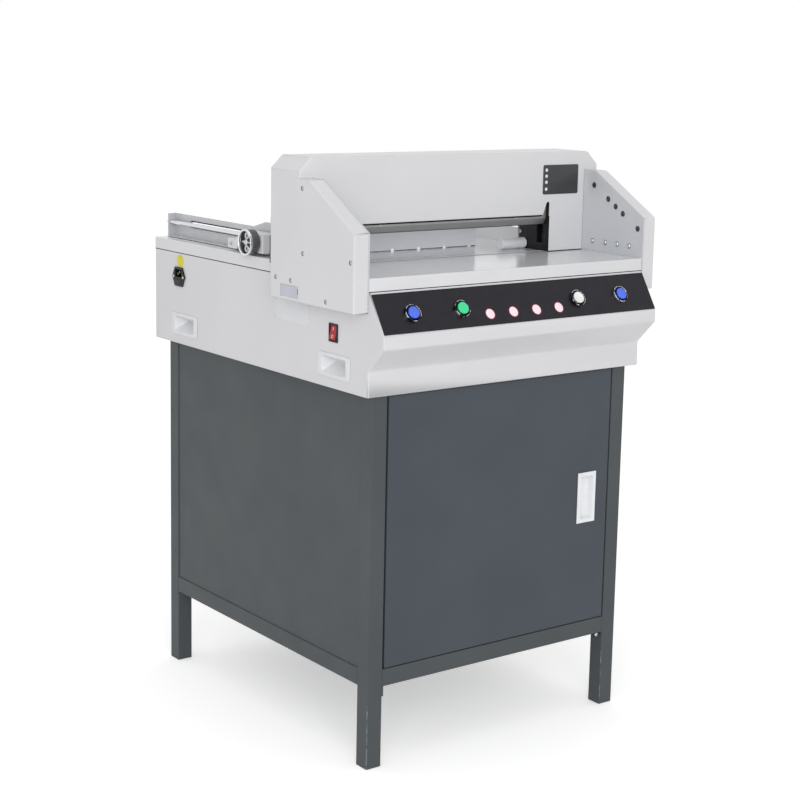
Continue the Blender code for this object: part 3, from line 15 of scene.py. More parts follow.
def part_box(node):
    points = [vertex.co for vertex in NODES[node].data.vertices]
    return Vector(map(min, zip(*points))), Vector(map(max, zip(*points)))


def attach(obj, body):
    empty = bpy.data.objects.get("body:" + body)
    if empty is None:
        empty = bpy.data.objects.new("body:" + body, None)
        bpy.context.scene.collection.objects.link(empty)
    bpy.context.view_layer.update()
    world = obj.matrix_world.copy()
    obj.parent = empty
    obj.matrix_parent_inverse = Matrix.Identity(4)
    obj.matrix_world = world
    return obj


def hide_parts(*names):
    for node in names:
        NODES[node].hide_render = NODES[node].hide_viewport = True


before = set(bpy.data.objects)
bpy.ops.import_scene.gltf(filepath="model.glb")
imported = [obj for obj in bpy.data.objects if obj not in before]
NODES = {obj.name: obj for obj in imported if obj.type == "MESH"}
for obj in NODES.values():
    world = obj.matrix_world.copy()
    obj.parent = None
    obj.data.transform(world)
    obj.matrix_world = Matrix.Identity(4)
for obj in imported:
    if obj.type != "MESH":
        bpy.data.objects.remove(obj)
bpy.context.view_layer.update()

LEFT, RIGHT = Vector((-1, 0, 0)), Vector((1, 0, 0))
FRONT, REAR = Vector((0, -1, 0)), Vector((0, 1, 0))
UP = Vector((0, 0, 1))
SIDES = (("left", LEFT), ("right", RIGHT))
GAP = 0.00005  # between a thin detail and the face under it
TABLE_TOP = 0.8333  # the side lay stands above it, so the table's box doesn't say it
MILLI = 1000
SMALL = 1e-6


def tone(red, green, blue):
    """A screen colour from 0 to 255 as a linear RGBA colour."""
    linear = [(value / 255 / 12.92) if value <= 10 else ((value / 255 + 0.055) / 1.055) ** 2.4
              for value in (red, green, blue)]
    return (*linear, 1.0)


# Finishes

class Finish:
    """One material's node tree, built up from short steps."""

    def __init__(self, name):
        self.material = bpy.data.materials.new(name)
        self.material.use_nodes = True
        self.tree = self.material.node_tree
        self.shader = self.tree.nodes["Principled BSDF"]
        self.place = self.node("ShaderNodeTexCoord").outputs["Object"]

    def colour(self):
        """What feeds the base colour so far."""
        return self.shader.inputs["Base Color"].links[0].from_socket

    def node(self, kind, inputs=None, **settings):
        made = self.tree.nodes.new(kind)
        for name, value in settings.items():
            setattr(made, name, value)
        for name, value in (inputs or {}).items():
            self.feed(made.inputs[name], value)
        return made

    def feed(self, socket, value):
        if isinstance(value, bpy.types.NodeSocket):
            self.tree.links.new(value, socket)
        else:
            socket.default_value = value

    def set(self, **values):
        for name, value in values.items():
            self.feed(self.shader.inputs[name.replace("_", " ")], value)

    def noise(self, size, detail=2.0, stretch=(1, 1, 1), shift=0.0):
        """Noise with blobs about size metres across, drawn out by stretch along each axis."""
        scale = [1 / (size * share) for share in stretch]
        mapped = self.node("ShaderNodeMapping", {"Vector": self.place, "Scale": scale,
                                                 "Location": (shift, shift, shift)})
        return self.node("ShaderNodeTexNoise", {"Vector": mapped.outputs[0], "Scale": 1.0,
                                                "Detail": detail}).outputs["Fac"]

    def math(self, operation, first, second=0.0, clamp=False):
        made = self.node("ShaderNodeMath", operation=operation, use_clamp=clamp)
        self.feed(made.inputs[0], first)
        self.feed(made.inputs[1], second)
        return made.outputs[0]

    def span(self, value, start, end, low=0.0, high=1.0):
        """Maps value from start..end to low..high, and holds it there."""
        return self.node("ShaderNodeMapRange", {"Value": value, "From Min": start,
                                                "From Max": end, "To Min": low,
                                                "To Max": high}).outputs[0]

    def mix(self, share, first, second):
        """A colour between two, by a share from 0 to 1."""
        made = self.node("ShaderNodeMix", data_type="RGBA")
        self.feed(made.inputs[0], share)
        self.feed(made.inputs[6], first)
        self.feed(made.inputs[7], second)
        return made.outputs[2]

    def axis(self, index):
        return self.node("ShaderNodeSeparateXYZ", {"Vector": self.place}).outputs[index]

    def facing(self, index):
        """One part of the face's own normal, along X (0), Y (1) or Z (2)."""
        normal = self.node("ShaderNodeNewGeometry").outputs["True Normal"]
        return self.node("ShaderNodeSeparateXYZ", {"Vector": normal}).outputs[index]

    def rounded(self, radius):
        """The normal of softly rounded edges."""
        return self.node("ShaderNodeBevel", {"Radius": radius}, samples=6).outputs[0]

    def edges(self, radius, start=0.02, end=0.20):
        """1 along edges and 0 away from them."""
        true = self.node("ShaderNodeNewGeometry").outputs["True Normal"]
        dot = self.node("ShaderNodeVectorMath", {0: self.rounded(radius), 1: true},
                        operation="DOT_PRODUCT")
        return self.span(self.math("SUBTRACT", 1.0, dot.outputs["Value"]), start, end)

    def bumps(self, layers, normal=None):
        """Stacks (height, distance, strength) layers of bump on the shader's normal."""
        for height, distance, strength in layers:
            inputs = {"Height": height, "Distance": distance, "Strength": strength}
            if normal is not None:
                inputs["Normal"] = normal
            normal = self.node("ShaderNodeBump", inputs).outputs[0]
        self.feed(self.shader.inputs["Normal"], normal)


def paint(name, colour, shade, rough, grain, depth, edge=0.0008, coat=0.0, gloss=0.5):
    """Stoved or powder paint: two close screen colours, a fine skin and soft edges."""
    made = Finish(name)
    broad = made.noise(0.16, 3.0)
    fine = made.noise(grain, 2.0)
    body = made.mix(made.span(broad, 0.35, 0.65), tone(*colour), tone(*shade))
    made.set(Base_Color=body, Roughness=made.span(made.noise(0.05, 4.0, shift=7.0), 0.3, 0.7,
                                                  rough - 0.05, rough + 0.05),
             Coat_Weight=coat, Coat_Roughness=0.12, Specular_IOR_Level=gloss)
    made.bumps([(fine, depth, 0.5), (made.noise(0.09, 2.0, shift=11.0), 0.0002, 0.10)],
               made.rounded(edge))
    return made


def metal(name, colour, shade, rough, along=0, metallic=1.0, edge=0.0004, lines=0.0006,
          depth=0.00002):
    """Ground, brushed or drawn metal with fine lines along one axis."""
    made = Finish(name)
    stretch = [0.02 if index != along else 1.0 for index in range(3)]
    stroke = made.noise(lines * 50, 3.0, stretch)
    broad = made.noise(0.03, 3.0, shift=5.0)
    body = made.mix(made.math("MULTIPLY", stroke, made.span(broad, 0.3, 0.7, 0.6, 1.0)),
                    tone(*colour), tone(*shade))
    made.set(Base_Color=body, Metallic=metallic,
             Roughness=made.span(stroke, 0.3, 0.7, rough - 0.06, rough + 0.08))
    made.bumps([(stroke, depth, 0.35)], made.rounded(edge))
    return made


def plastic(name, colour, shade, rough=0.35, grain=0.0006, depth=0.00003, edge=0.0005, coat=0.0,
            subsurface=0.0, gloss=0.5):
    """Moulded plastic with a fine spark-eroded skin."""
    made = Finish(name)
    fine = made.noise(grain, 2.0)
    body = made.mix(made.span(made.noise(0.02, 3.0, shift=2.0), 0.35, 0.65), tone(*colour),
                    tone(*shade))
    made.set(Base_Color=body, Roughness=made.span(made.noise(0.012, 3.0, shift=9.0), 0.3, 0.7,
                                                  rough - 0.04, rough + 0.06),
             Coat_Weight=coat, Coat_Roughness=0.05, Specular_IOR_Level=gloss)
    if subsurface:
        made.set(Subsurface_Weight=subsurface, Subsurface_Scale=0.002)
    made.bumps([(fine, depth, 0.4)], made.rounded(edge))
    return made


def cap_plastic(name, colour, shade):
    """Glossy, slightly see-through plastic of the push-button caps."""
    return plastic(name, colour, shade, rough=0.22, grain=0.0009, depth=0.00001, coat=0.6,
                   subsurface=0.08)


def white_paint():
    """The sheet metal's satin white."""
    return paint("paint_white", (217, 217, 219), (214, 214, 216), rough=0.38, grain=0.0011,
                 depth=0.00003, edge=0.0026, coat=0.10)


def stand_paint():
    """Powder coat, chipped and rubbed along the lower edges of the front legs, with every edge
    lightened a little: partly rubbed paint, partly a painted highlight where edges catch the
    light.
    """
    made = paint("paint_stand", (77, 82, 84), (73, 78, 81), rough=0.48, grain=0.0008,
                 depth=0.00006, edge=0.0010, gloss=0.25)
    body = made.colour()
    edge_rub_and_highlight = made.edges(0.0022, 0.01, 0.12)
    chips = made.span(made.noise(0.0045, 5.0, (1, 1, 2.2), 21.0), 0.50, 0.55)
    low = made.span(made.axis(2), 0.100, 0.118, 1.0, 0.0)
    front = made.span(made.axis(1), -0.305, -0.300, 1.0, 0.0)
    bare = made.math("MULTIPLY", made.math("MULTIPLY", edge_rub_and_highlight, chips),
                     made.math("MULTIPLY", low, front))
    # Lightens every edge: rubbed paint, and a painted highlight where the edges catch the light.
    pale_rub_and_highlight = made.mix(made.math("MULTIPLY", edge_rub_and_highlight, 0.16), body, tone(120, 125, 128))
    made.set(Base_Color=made.mix(bare, pale_rub_and_highlight, tone(196, 198, 200)),
             Metallic=made.math("MULTIPLY", bare, 0.7))
    return made


def door_paint():
    """The door's bluer powder coat, paler along its edges: rubbed paint, and a painted highlight
    where the edges catch the light.
    """
    made = paint("paint_door", (72, 78, 86), (68, 74, 82), rough=0.42, grain=0.0009,
                 depth=0.00004, edge=0.0009, gloss=0.25)
    body = made.colour()
    edge_rub_and_highlight = made.edges(0.0015, 0.02, 0.2)
    # Painted highlight on the edges, mixed with their rubbed paint.
    made.set(Base_Color=made.mix(made.math("MULTIPLY", edge_rub_and_highlight, 0.25), body, tone(108, 112, 122)))
    return made


def table_finish():
    """White slab sides and a ground, polished top with fine lines across and old scuffs."""
    made = Finish("table_polished")
    top = made.span(made.facing(2), 0.90, 0.95)
    lines = made.noise(0.05, 3.0, (1.0, 0.012, 1.0))
    broad = made.noise(0.12, 3.0, shift=4.0)
    scuff = made.span(made.noise(0.02, 6.0, (3.0, 0.35, 1.0), 8.0), 0.60, 0.68, 0.0, 0.35)
    plate = made.mix(made.span(broad, 0.3, 0.7), tone(222, 223, 226), tone(217, 219, 222))
    plate = made.mix(made.math("MULTIPLY", lines, 0.20), plate, tone(206, 208, 212))
    plate = made.mix(scuff, plate, tone(208, 210, 213))
    side = made.mix(made.span(broad, 0.35, 0.65), tone(222, 222, 224), tone(219, 219, 221))
    made.set(Base_Color=made.mix(top, side, plate), Metallic=made.math("MULTIPLY", top, 0.10),
             Roughness=made.math("ADD", made.math("MULTIPLY", top, -0.20),
                                 made.span(lines, 0.3, 0.7, 0.34, 0.40)))
    made.bumps([(made.math("MULTIPLY", lines, top), 0.00002, 0.25),
                (made.noise(0.0011, 2.0), 0.00001, 0.3)], made.rounded(0.0009))
    return made


def disc_finish():
    """The face of a plain printed disc: pale pink, with no sign on it."""
    made = Finish("print_pink")
    body = made.mix(made.span(made.noise(0.004, 3.0), 0.3, 0.7), tone(250, 236, 241),
                    tone(245, 226, 233))
    made.set(Base_Color=body, Roughness=made.span(made.noise(0.002, 2.0), 0.3, 0.7, 0.30, 0.40))
    made.bumps([(made.noise(0.0005, 2.0), 0.00001, 0.3)], made.rounded(0.0002))
    return made


def glint_ring():
    """A dark bezel rim with painted glints: bright patches in broken arcs stand for its
    reflections.
    """
    made = metal("ring_painted_glints", (225, 226, 228), (205, 206, 209), rough=0.16, metallic=0.9,
                 depth=0.000004)
    body = made.colour()
    glint_patches = made.span(made.noise(0.009, 2.0, shift=2.5), 0.46, 0.54)
    # Dark rim with bright patches left in broken arcs: painted glints.
    made.set(Base_Color=made.mix(glint_patches, body, tone(44, 44, 49)))
    return made


MOULDED = {"rough": 0.34, "grain": 0.0008, "depth": 0.00003, "edge": 0.0006,
           "subsurface": 0.05}
FINISHES = {
    "white_paint": white_paint(),
    "stand_paint": stand_paint(),
    "door_paint": door_paint(),
    "table": table_finish(),
    "motor": paint("paint_motor", (96, 110, 122), (86, 100, 112), rough=0.45, grain=0.0015,
                   depth=0.0001),
    "liner": metal("liner_satin", (204, 206, 210), (196, 198, 202), rough=0.36, along=1,
                   metallic=0.08, depth=0.00001),
    "ring": glint_ring(),
    "cup": plastic("cup_white", (226, 227, 229), (221, 222, 225), **MOULDED),
    "stick": plastic("stick_grey", (186, 187, 190), (178, 179, 183), rough=0.45, grain=0.0008),
    "pocket": plastic("pocket_lavender", (196, 197, 207), (190, 191, 202), rough=0.40),
    "zinc": metal("zinc_plated", (204, 205, 208), (166, 168, 172), rough=0.30, along=1,
                  metallic=0.85),
    "knurl": metal("knurl_grey", (128, 130, 134), (86, 88, 92), rough=0.28, metallic=0.9),
    "rail": metal("rail_drawn", (204, 205, 208), (178, 180, 184), rough=0.32, along=1,
                  metallic=0.25),
    "steel": metal("steel_ground", (205, 206, 209), (160, 162, 166), rough=0.22),
    "knife": metal("knife_ground", (170, 170, 168), (140, 140, 138), rough=0.36, along=2,
                   metallic=0.7),
    # Black for strips of painted shade in gaps, slots and under edges.
    "pitch": plastic("painted_shade_black", (12, 12, 13), (8, 8, 9), rough=0.6, gloss=0.1),
    "chrome": metal("chrome_bright", (225, 226, 228), (205, 206, 209), rough=0.10, depth=0.000004),
    "chrome_dark": metal("chrome_dark", (92, 93, 98), (66, 67, 72), rough=0.14, depth=0.000004),
    "cast": paint("cast_black", (26, 26, 30), (19, 19, 23), rough=0.36, grain=0.0012,
                  depth=0.00012, edge=0.0010, gloss=0.3),
    "plate_black": plastic("plate_black", (32, 30, 37), (28, 26, 33), rough=0.38, grain=0.0007,
                           depth=0.00002, edge=0.0004, gloss=0.22),
    "black": plastic("plastic_black", (26, 26, 30), (20, 20, 24), rough=0.34, grain=0.0007,
                     depth=0.00005, gloss=0.25),
    "socket_black": plastic("plastic_pit", (22, 22, 24), (16, 16, 18), rough=0.45),
    "white": plastic("plastic_white", (240, 241, 243), (234, 235, 238), **MOULDED),
    # The fence's white is set brighter than its paint: painted light against the shade it stands
    # in inside the throat.
    "fence": paint("paint_fence_brightened", (248, 248, 254), (245, 245, 252), rough=0.33, grain=0.001,
                   depth=0.00002, edge=0.0006, coat=0.2),
    "blue": cap_plastic("cap_blue", (62, 104, 236), (54, 94, 226)),
    "green": cap_plastic("cap_green", (40, 222, 150), (32, 212, 140)),
    "cap_white": cap_plastic("cap_white", (240, 240, 240), (234, 234, 234)),
    "red": plastic("rocker_red", (178, 26, 38), (164, 20, 32), rough=0.24, grain=0.0009,
                   depth=0.00001, coat=0.15, gloss=0.3),
    "mark": plastic("mark_white", (236, 236, 238), (228, 228, 230), rough=0.4),
    "disc": disc_finish(),
    "disc_rim": plastic("print_rim", (186, 48, 96), (176, 42, 88), rough=0.36),
    "label": metal("label_dark", (64, 66, 67), (54, 56, 58), rough=0.34, metallic=0.3),
    "foil": metal("foil_plate", (216, 217, 220), (208, 209, 212), rough=0.32, metallic=0.35),
    "yellow": plastic("sticker_yellow", (222, 212, 52), (212, 200, 44), rough=0.36),
    "lens": plastic("lens_dark", (44, 40, 46), (30, 26, 32), rough=0.12, grain=0.0008,
                    depth=0.000005, edge=0.0003, coat=0.8),
    "brass": metal("pin_brass", (190, 170, 110), (160, 140, 84), rough=0.25),
    "dark_gap": plastic("inner_dark", (30, 31, 34), (24, 25, 28), rough=0.6),
    # Black rubber; also used for strips of painted shade.
    "rubber": plastic("black_rubber_and_shade", (40, 40, 42), (33, 33, 35), rough=0.6, grain=0.0012,
                      depth=0.00008),
}

NODE_FINISHES = {
    "stand_paint": ("leg_", "rail_", "top_frame", "side_panel_", "rear_panel", "cabinet_floor"),
    "white": ("door_handle", "carry_cup_", "guide_bar"),
    "door_paint": ("door",),
    "zinc": ("hinge_pin_", "clamp_bar", "pull_rod"),
    "cast": ("machine_bed", "upright_", "knife_carrier", "head_beam"),
    "liner": ("casing_liner_",),
    "white_paint": ("lower_housing", "casing_", "head_", "gauge_carriage"),
    "plate_black": ("control_plate",),
    "black": ("rocker_frame", "inlet_socket", "fuse_drawer"),
    "red": ("rocker",),
    "table": ("work_table",),
    "stick": ("cutting_stick",),
    "lens": ("sensor_board_",),
    "knife": ("knife_blade",),
    "steel": ("crank_arm",),
    "motor": ("gear_motor",),
    "rail": ("gauge_rail",),
    "chrome": ("gauge_guide_rod", "hand_wheel"),
    "fence": ("backgauge",),
    "chrome_dark": ("button_bezel_",),
    "blue": ("button_cap_cut_",),
    "green": ("button_cap_power",),
    "cap_white": ("button_cap_reset",),
}

SLOT_LOOKS = {
    "white_paint": ("white_paint",), "stand_paint": ("stand_paint",),
    "blue_plastic": ("blue",), "green_plastic": ("green",),
    "white_plastic": ("cap_white", "cup", "disc", "disc_rim", "mark", "pocket", "yellow"),
    "black_plastic": ("black", "dark_gap", "label", "lens", "pitch", "rubber", "socket_black"),
    "grey_metal": ("foil", "knurl", "steel", "zinc"),
    "polished_steel": ("brass", "chrome", "chrome_dark", "ring"),
}
SLOTS = {look: slot for slot, looks in SLOT_LOOKS.items() for look in looks}


def dress_nodes():
    """Gives every CAD node the first finish whose list holds the start of its name."""
    for name, obj in NODES.items():
        look = next(look for look, starts in NODE_FINISHES.items() if name.startswith(starts))
        obj.data.materials.clear()
        obj.data.materials.append(FINISHES[look].material)


# Mesh helpers

def turned(profile, centre=(0, 0, 0), along=UP, sides=48):
    """A bmesh turned round an axis from a closed profile of (radius, height) points."""
    bm = bmesh.new()
    rings = []
    for radius, height in profile:
        if radius == 0:
            rings.append([bm.verts.new((0, 0, height))])
            continue
        angles = [2 * math.pi * step / sides for step in range(sides)]
        rings.append([bm.verts.new((radius * math.cos(a), radius * math.sin(a), height))
                      for a in angles])
    for first, second in zip(rings, rings[1:] + rings[:1]):
        for step in range(sides):
            corner = [first[step % len(first)], first[(step + 1) % len(first)],
                      second[(step + 1) % len(second)], second[step % len(second)]]
            corner = list(dict.fromkeys(corner))
            if len(corner) > 2:
                bm.faces.new(corner)
    turn = Vector(along).to_track_quat("Z", "Y").to_matrix().to_4x4()
    bmesh.ops.transform(bm, matrix=Matrix.Translation(centre) @ turn, verts=bm.verts)
    bmesh.ops.recalc_face_normals(bm, faces=bm.faces)
    return bm


def prism(outline, low, high):
    """A bmesh of an outline in X and Y pushed along Z."""
    bm = bmesh.new()
    face = bm.faces.new([bm.verts.new((*point, low)) for point in outline])
    pushed = bmesh.ops.extrude_face_region(bm, geom=[face])
    top = [item for item in pushed["geom"] if isinstance(item, bmesh.types.BMVert)]
    bmesh.ops.translate(bm, verts=top, vec=(0, 0, high - low))
    bmesh.ops.recalc_face_normals(bm, faces=bm.faces)
    return bm


def soften(bm, radius, segments=3):
    """Rounds every edge of a bmesh."""
    bmesh.ops.bevel(bm, geom=list(bm.edges), offset=radius, segments=segments, profile=0.5,
                    affect="EDGES", clamp_overlap=True)
    return bm


def block(low, high, radius=0.0, segments=3):
    """A box between two corners with rounded edges."""
    (x0, y0, z0), (x1, y1, z1) = low, high
    bm = prism([(x0, y0), (x1, y0), (x1, y1), (x0, y1)], z0, z1)
    return soften(bm, radius, segments) if radius else bm


def rounded_outline(width, height, radius, steps=8):
    """A rounded rectangle round the origin."""
    points = []
    for turn, (sx, sy) in enumerate(((1, 1), (-1, 1), (-1, -1), (1, -1))):
        centre = (sx * (width / 2 - radius), sy * (height / 2 - radius))
        for step in range(steps + 1):
            angle = math.pi / 2 * (turn + step / steps)
            points.append((centre[0] + radius * math.cos(angle),
                           centre[1] + radius * math.sin(angle)))
    return points


def facing(place, out):
    """A frame at a place whose Z looks out of the surface and whose Y is as near up as it can."""
    out = Vector(out).normalized()
    across = UP.cross(out)
    if across.length < SMALL:
        across = RIGHT.copy()
    across.normalize()
    turn = Matrix((across, out.cross(across), out)).transposed().to_4x4()
    return Matrix.Translation(place) @ turn


def moved(bm, matrix):
    """The same bmesh, moved."""
    bmesh.ops.transform(bm, matrix=matrix, verts=bm.verts)
    return bm


def merged(parts):
    """One bmesh from several."""
    whole = bmesh.new()
    for part in parts:
        mesh = bpy.data.meshes.new("part")
        part.to_mesh(mesh)
        part.free()
        whole.from_mesh(mesh)
        bpy.data.meshes.remove(mesh)
    return whole


def carved(bm, tools, joins=()):
    """Joins bmeshes to one, then cuts others out of it."""
    objects = []
    for index, source in enumerate([bm, *joins, *tools]):
        mesh = bpy.data.meshes.new(f"carve_{index}")
        bmesh.ops.recalc_face_normals(source, faces=source.faces)
        source.to_mesh(mesh)
        source.free()
        obj = bpy.data.objects.new(f"carve_{index}", mesh)
        bpy.context.scene.collection.objects.link(obj)
        objects.append(obj)
    base = objects[0]
    for index, tool in enumerate(objects[1:]):
        cut = base.modifiers.new("cut", "BOOLEAN")
        cut.operation = "UNION" if index < len(joins) else "DIFFERENCE"
        cut.solver, cut.object = "EXACT", tool
    graph = bpy.context.evaluated_depsgraph_get()
    shaped = bpy.data.meshes.new_from_object(base.evaluated_get(graph))
    result = bmesh.new()
    result.from_mesh(shaped)
    bpy.data.meshes.remove(shaped)
    for obj in objects:
        mesh = obj.data
        bpy.data.objects.remove(obj, do_unlink=True)
        bpy.data.meshes.remove(mesh)
    return result


def piece(name, bm, look, body="machine", slot=None, stands_for=(), sharp=35, flat=False):
    """Makes a bmesh in the part's frame into a piece that rides on a body.

    It works out a slot, the one its look usually goes with unless another is given, but does not
    give it to the piece.
    """
    mesh = bpy.data.meshes.new(name)
    bm.to_mesh(mesh)
    bm.free()
    mesh.shade_smooth()
    mesh.set_sharp_from_angle(angle=math.radians(sharp))
    mesh.materials.append(FINISHES[look].material)
    obj = bpy.data.objects.new(name, mesh)
    bpy.context.scene.collection.objects.link(obj)
    if flat:
        obj.modifiers.new("flat_faces", "WEIGHTED_NORMAL").keep_sharp = True
    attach(obj, body)
    slot = slot or SLOTS[look]
    if stands_for:
        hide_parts(*stands_for)


def head_mesh(style, radius, height):
    """A socket, pan or sunk screw head that stands on its own XY plane."""
    if style == "socket":
        profile = [(0, 0), (radius, 0), (radius, height * 0.85), (radius * 0.9, height),
                   (0, height)]
        hexagon = [(radius * 0.5 * math.cos(math.pi / 3 * k),
                    radius * 0.5 * math.sin(math.pi / 3 * k)) for k in range(6)]
        return carved(turned(profile, sides=36), [prism(hexagon, height * 0.4, height * 2)])
    rise = height if style == "pan" else height * 0.35
    profile = [(0, -height * 0.3), (radius, -height * 0.3), (radius, rise * 0.15),
               (radius * 0.93, rise * 0.5), (radius * 0.75, rise * 0.82),
               (radius * 0.45, rise * 0.96), (0, rise)]
    arm, thin = radius * 0.58, radius * 0.13
    floor = rise - height * 0.7
    return carved(turned(profile, sides=36), [
        block((-arm, -thin, floor), (arm, thin, rise * 2)),
        block((-thin, -arm, floor), (thin, arm, rise * 2))])


def fasteners(name, places, out, radius, height, style="pan", look="zinc", body="machine",
              slot="grey_metal"):
    """One piece of several alike screw heads, each turned a little differently."""
    template = head_mesh(style, radius, height)
    dice = random.Random(name)
    parts = []
    for place in places:
        turn = Matrix.Rotation(dice.uniform(0, math.pi), 4, "Z")
        parts.append(moved(template.copy(), facing(place, out) @ turn))
    template.free()
    piece(name, merged(parts), look, body, slot)


def on_face(node, out, *points):
    """Places in millimetres on a node's side face (Y, Z) or its front or rear face (X, Z)."""
    low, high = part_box(node)
    if out.x:
        x = high.x if out.x > 0 else low.x
        return [Vector((x, a / MILLI, b / MILLI)) for a, b in points]
    y = high.y if out.y > 0 else low.y
    return [Vector((a / MILLI, y, b / MILLI)) for a, b in points]


# Control panel on the slope

SLOPE_FOOT = Vector((0, -0.3705, 0.7448))
SLOPE_TOP = Vector((0, -0.3295, 0.8108))
SLOPE_UP = (SLOPE_TOP - SLOPE_FOOT).normalized()
SLOPE_OUT = RIGHT.cross(SLOPE_UP)
SLOPE_LENGTH = (SLOPE_TOP - SLOPE_FOOT).length
PLATE_FACE = 0.0015
BUTTONS = {"cut_left": (-0.2323, "blue"), "power": (-0.1313, "green"),
           "reset": (0.1237, "cap_white"), "cut_right": (0.2247, "blue")}
BUTTON_DROP, BUTTON_SEAT = 0.0038, 0.0018
CAP_STROKE, CAP_PROUD = 0.0035, 0.0006
DISC_PLACES, DISC_ALONG = (-0.0747, -0.0242, 0.0267, 0.0769), 0.0226


def on_slope(x, along, proud=PLATE_FACE):
    """A place on the control panel, so far along its slope and so proud of it."""
    return SLOPE_FOOT + RIGHT * x + SLOPE_UP * along + SLOPE_OUT * proud


def make_buttons():
    """Smooth ribbed bezels and domed caps in place of the faceted ones."""
    ring = [(0.0086, 0.0), (0.0107, 0.0003), (0.0107, 0.0028), (0.0109, 0.0031),
            (0.0136, 0.0044), (0.0138, 0.0046), (0.0138, 0.0030), (0.0148, 0.0004),
            (0.0146, 0.0), (0.0108, 0.0), (0.0108, -0.0220), (0.0086, -0.0220)]
    crown = [(0.01375, 0.0002), (0.0149, 0.0002), (0.0150, 0.0010), (0.0150, 0.0042),
             (0.01485, 0.0047), (0.0145, 0.0050), (0.0140, 0.0049), (0.01375, 0.0045)]
    floor = CAP_STROKE + CAP_PROUD
    cap = [(radius, floor + height) for radius, height in (
        (0, -0.0150), (0.0082, -0.0150), (0.0082, 0), (0.0101, 0), (0.0103, 0.0003),
        (0.0103, 0.0020), (0.0101, 0.0028), (0.0096, 0.0033), (0.0089, 0.0035),
        (0.0082, 0.0033), (0.0060, 0.0029), (0.0030, 0.0027), (0, 0.0027))]
    for name, (x, look) in BUTTONS.items():
        foot = on_slope(x, SLOPE_LENGTH / 2 - BUTTON_DROP, BUTTON_SEAT)
        piece(f"bezel_ring_{name}", turned(ring, foot, SLOPE_OUT, 72), "black",
              slot="polished_steel", stands_for=[f"button_bezel_{name}"])
        # The crown's finish paints broken glints on a dark rim.
        piece(f"bezel_crown_{name}", turned(crown, foot, SLOPE_OUT, 72), "ring")
        piece(f"cap_{name}", turned(cap, foot, SLOPE_OUT, 72), look, f"button_{name}",
              stands_for=[f"button_cap_{name}"])


def make_panel_discs():
    """Plain pale discs with a deeper rim, in place of the printed signs."""
    rim = [(0.0087, 0), (0.0098, 0), (0.0098, 0.00018), (0.0096, 0.00024),
           (0.0089, 0.00024), (0.0087, 0.00018)]
    face = [(0, 0), (0.00865, 0), (0.00865, 0.00016), (0.0085, 0.0002), (0, 0.0002)]
    for index, x in enumerate(DISC_PLACES):
        place = on_slope(x, DISC_ALONG, PLATE_FACE + GAP)
        piece(f"disc_rim_{index}", turned(rim, place, SLOPE_OUT, 48), "disc_rim")
        piece(f"disc_face_{index}", turned(face, place, SLOPE_OUT, 48), "disc")


# Sheet-metal shells

SAME_LEVEL = 1e-5
SINK_DEPTH = 0.0011
NECK_LAP = 0.00035  # lifts the casing's neck into the head front, so the two join
FILLER_INNER, FILLER_LOW = 0.3026, 0.9810  # the fillers close the joints beside the neck


def welded(name):
    """A closed copy of a node's mesh."""
    bm = bmesh.new()
    bm.from_mesh(NODES[name].data)
    bmesh.ops.remove_doubles(bm, verts=bm.verts, dist=SMALL)
    return bm


def screw_sink(place, out):
    """The cutter of a shallow dished seat for a sunk screw."""
    return turned([(0, 0.0005), (0.0041, 0.0005), (0.0041, -0.0002), (0.0031, -SINK_DEPTH),
                   (0, -SINK_DEPTH)], place, out, 36)


def casing_screw_places(side, out):
    """Where a casing's cover screws sit on its outer face."""
    return on_face(f"casing_{side}", out, (-180.0, 966.0), (-183.1, 859.7), (-319.0, 859.0),
                   (-102.1, 812.5), (-147.5, 811.1), (-251.1, 788.1))


def make_head_shell():
    """The head's front and both casings as one welded shell with seats for sunk screws and a
    pocket.
    """
    cover_low, cover_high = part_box("head_front_cover")
    face, neck = cover_low.y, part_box("casing_left")[1].z
    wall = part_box("casing_left")[0].x
    joins, cutters = [], []
    for side, out in SIDES:
        casing = welded(f"casing_{side}")
        for vert in casing.verts:
            if abs(vert.co.z - neck) < SAME_LEVEL:
                vert.co.z += NECK_LAP
        near, far = sorted((out.x * FILLER_INNER, out.x * cover_high.x))
        joins += [casing,
                  block((near, face + 0.0012, FILLER_LOW), (far, face + 0.0021, neck + 0.0006)),
                  block((near, face, FILLER_LOW), (far, face + 0.0020, FILLER_LOW + 0.0010))]
        cutters += [screw_sink(place, out) for place in casing_screw_places(side, out)]
    cutters.append(block((wall - 0.001, -0.170, 0.780), (wall + 0.0007, -0.116, 0.803)))
    piece("head_shell", carved(welded("head_front_cover"), cutters, joins), "white_paint",
          stands_for=["head_front_cover", "casing_left", "casing_right"], flat=True)


def make_pocket():
    """A blank plate and its sill in the left casing's pocket, a dark slab of painted shade for a
    slit in it, and a black strip of painted shade along the casing's rear edge.
    """
    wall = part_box("casing_left")[0].x
    for name, look, (near, far), low, high in (
            ("plate", "pocket", (0.0003, 0.0009), (-0.1695, 0.7824), (-0.1165, 0.8025)),
            ("sill", "mark", (0.0001, 0.0009), (-0.1698, 0.7802), (-0.1162, 0.7822)),
            # The slit is a dark slab that paints the shade of an opening.
            ("slit_shade", "dark_gap", (0.00025, 0.0008), (-0.1690, 0.7900), (-0.1672, 0.7995))):
        slab = block((wall + near, *low), (wall + far, *high), 0.0001, 1)
        piece(f"pocket_{name}", slab, look)
    # Painted shade: a black strip along the casing's rear edge.
    rear_edge_shade = block((wall + 0.0002, -0.0838, 0.8340), (-0.3030, -0.0825, 0.8800), 0.0003, 2)
    piece("casing_rear_shadow_strip", rear_edge_shade, "rubber")


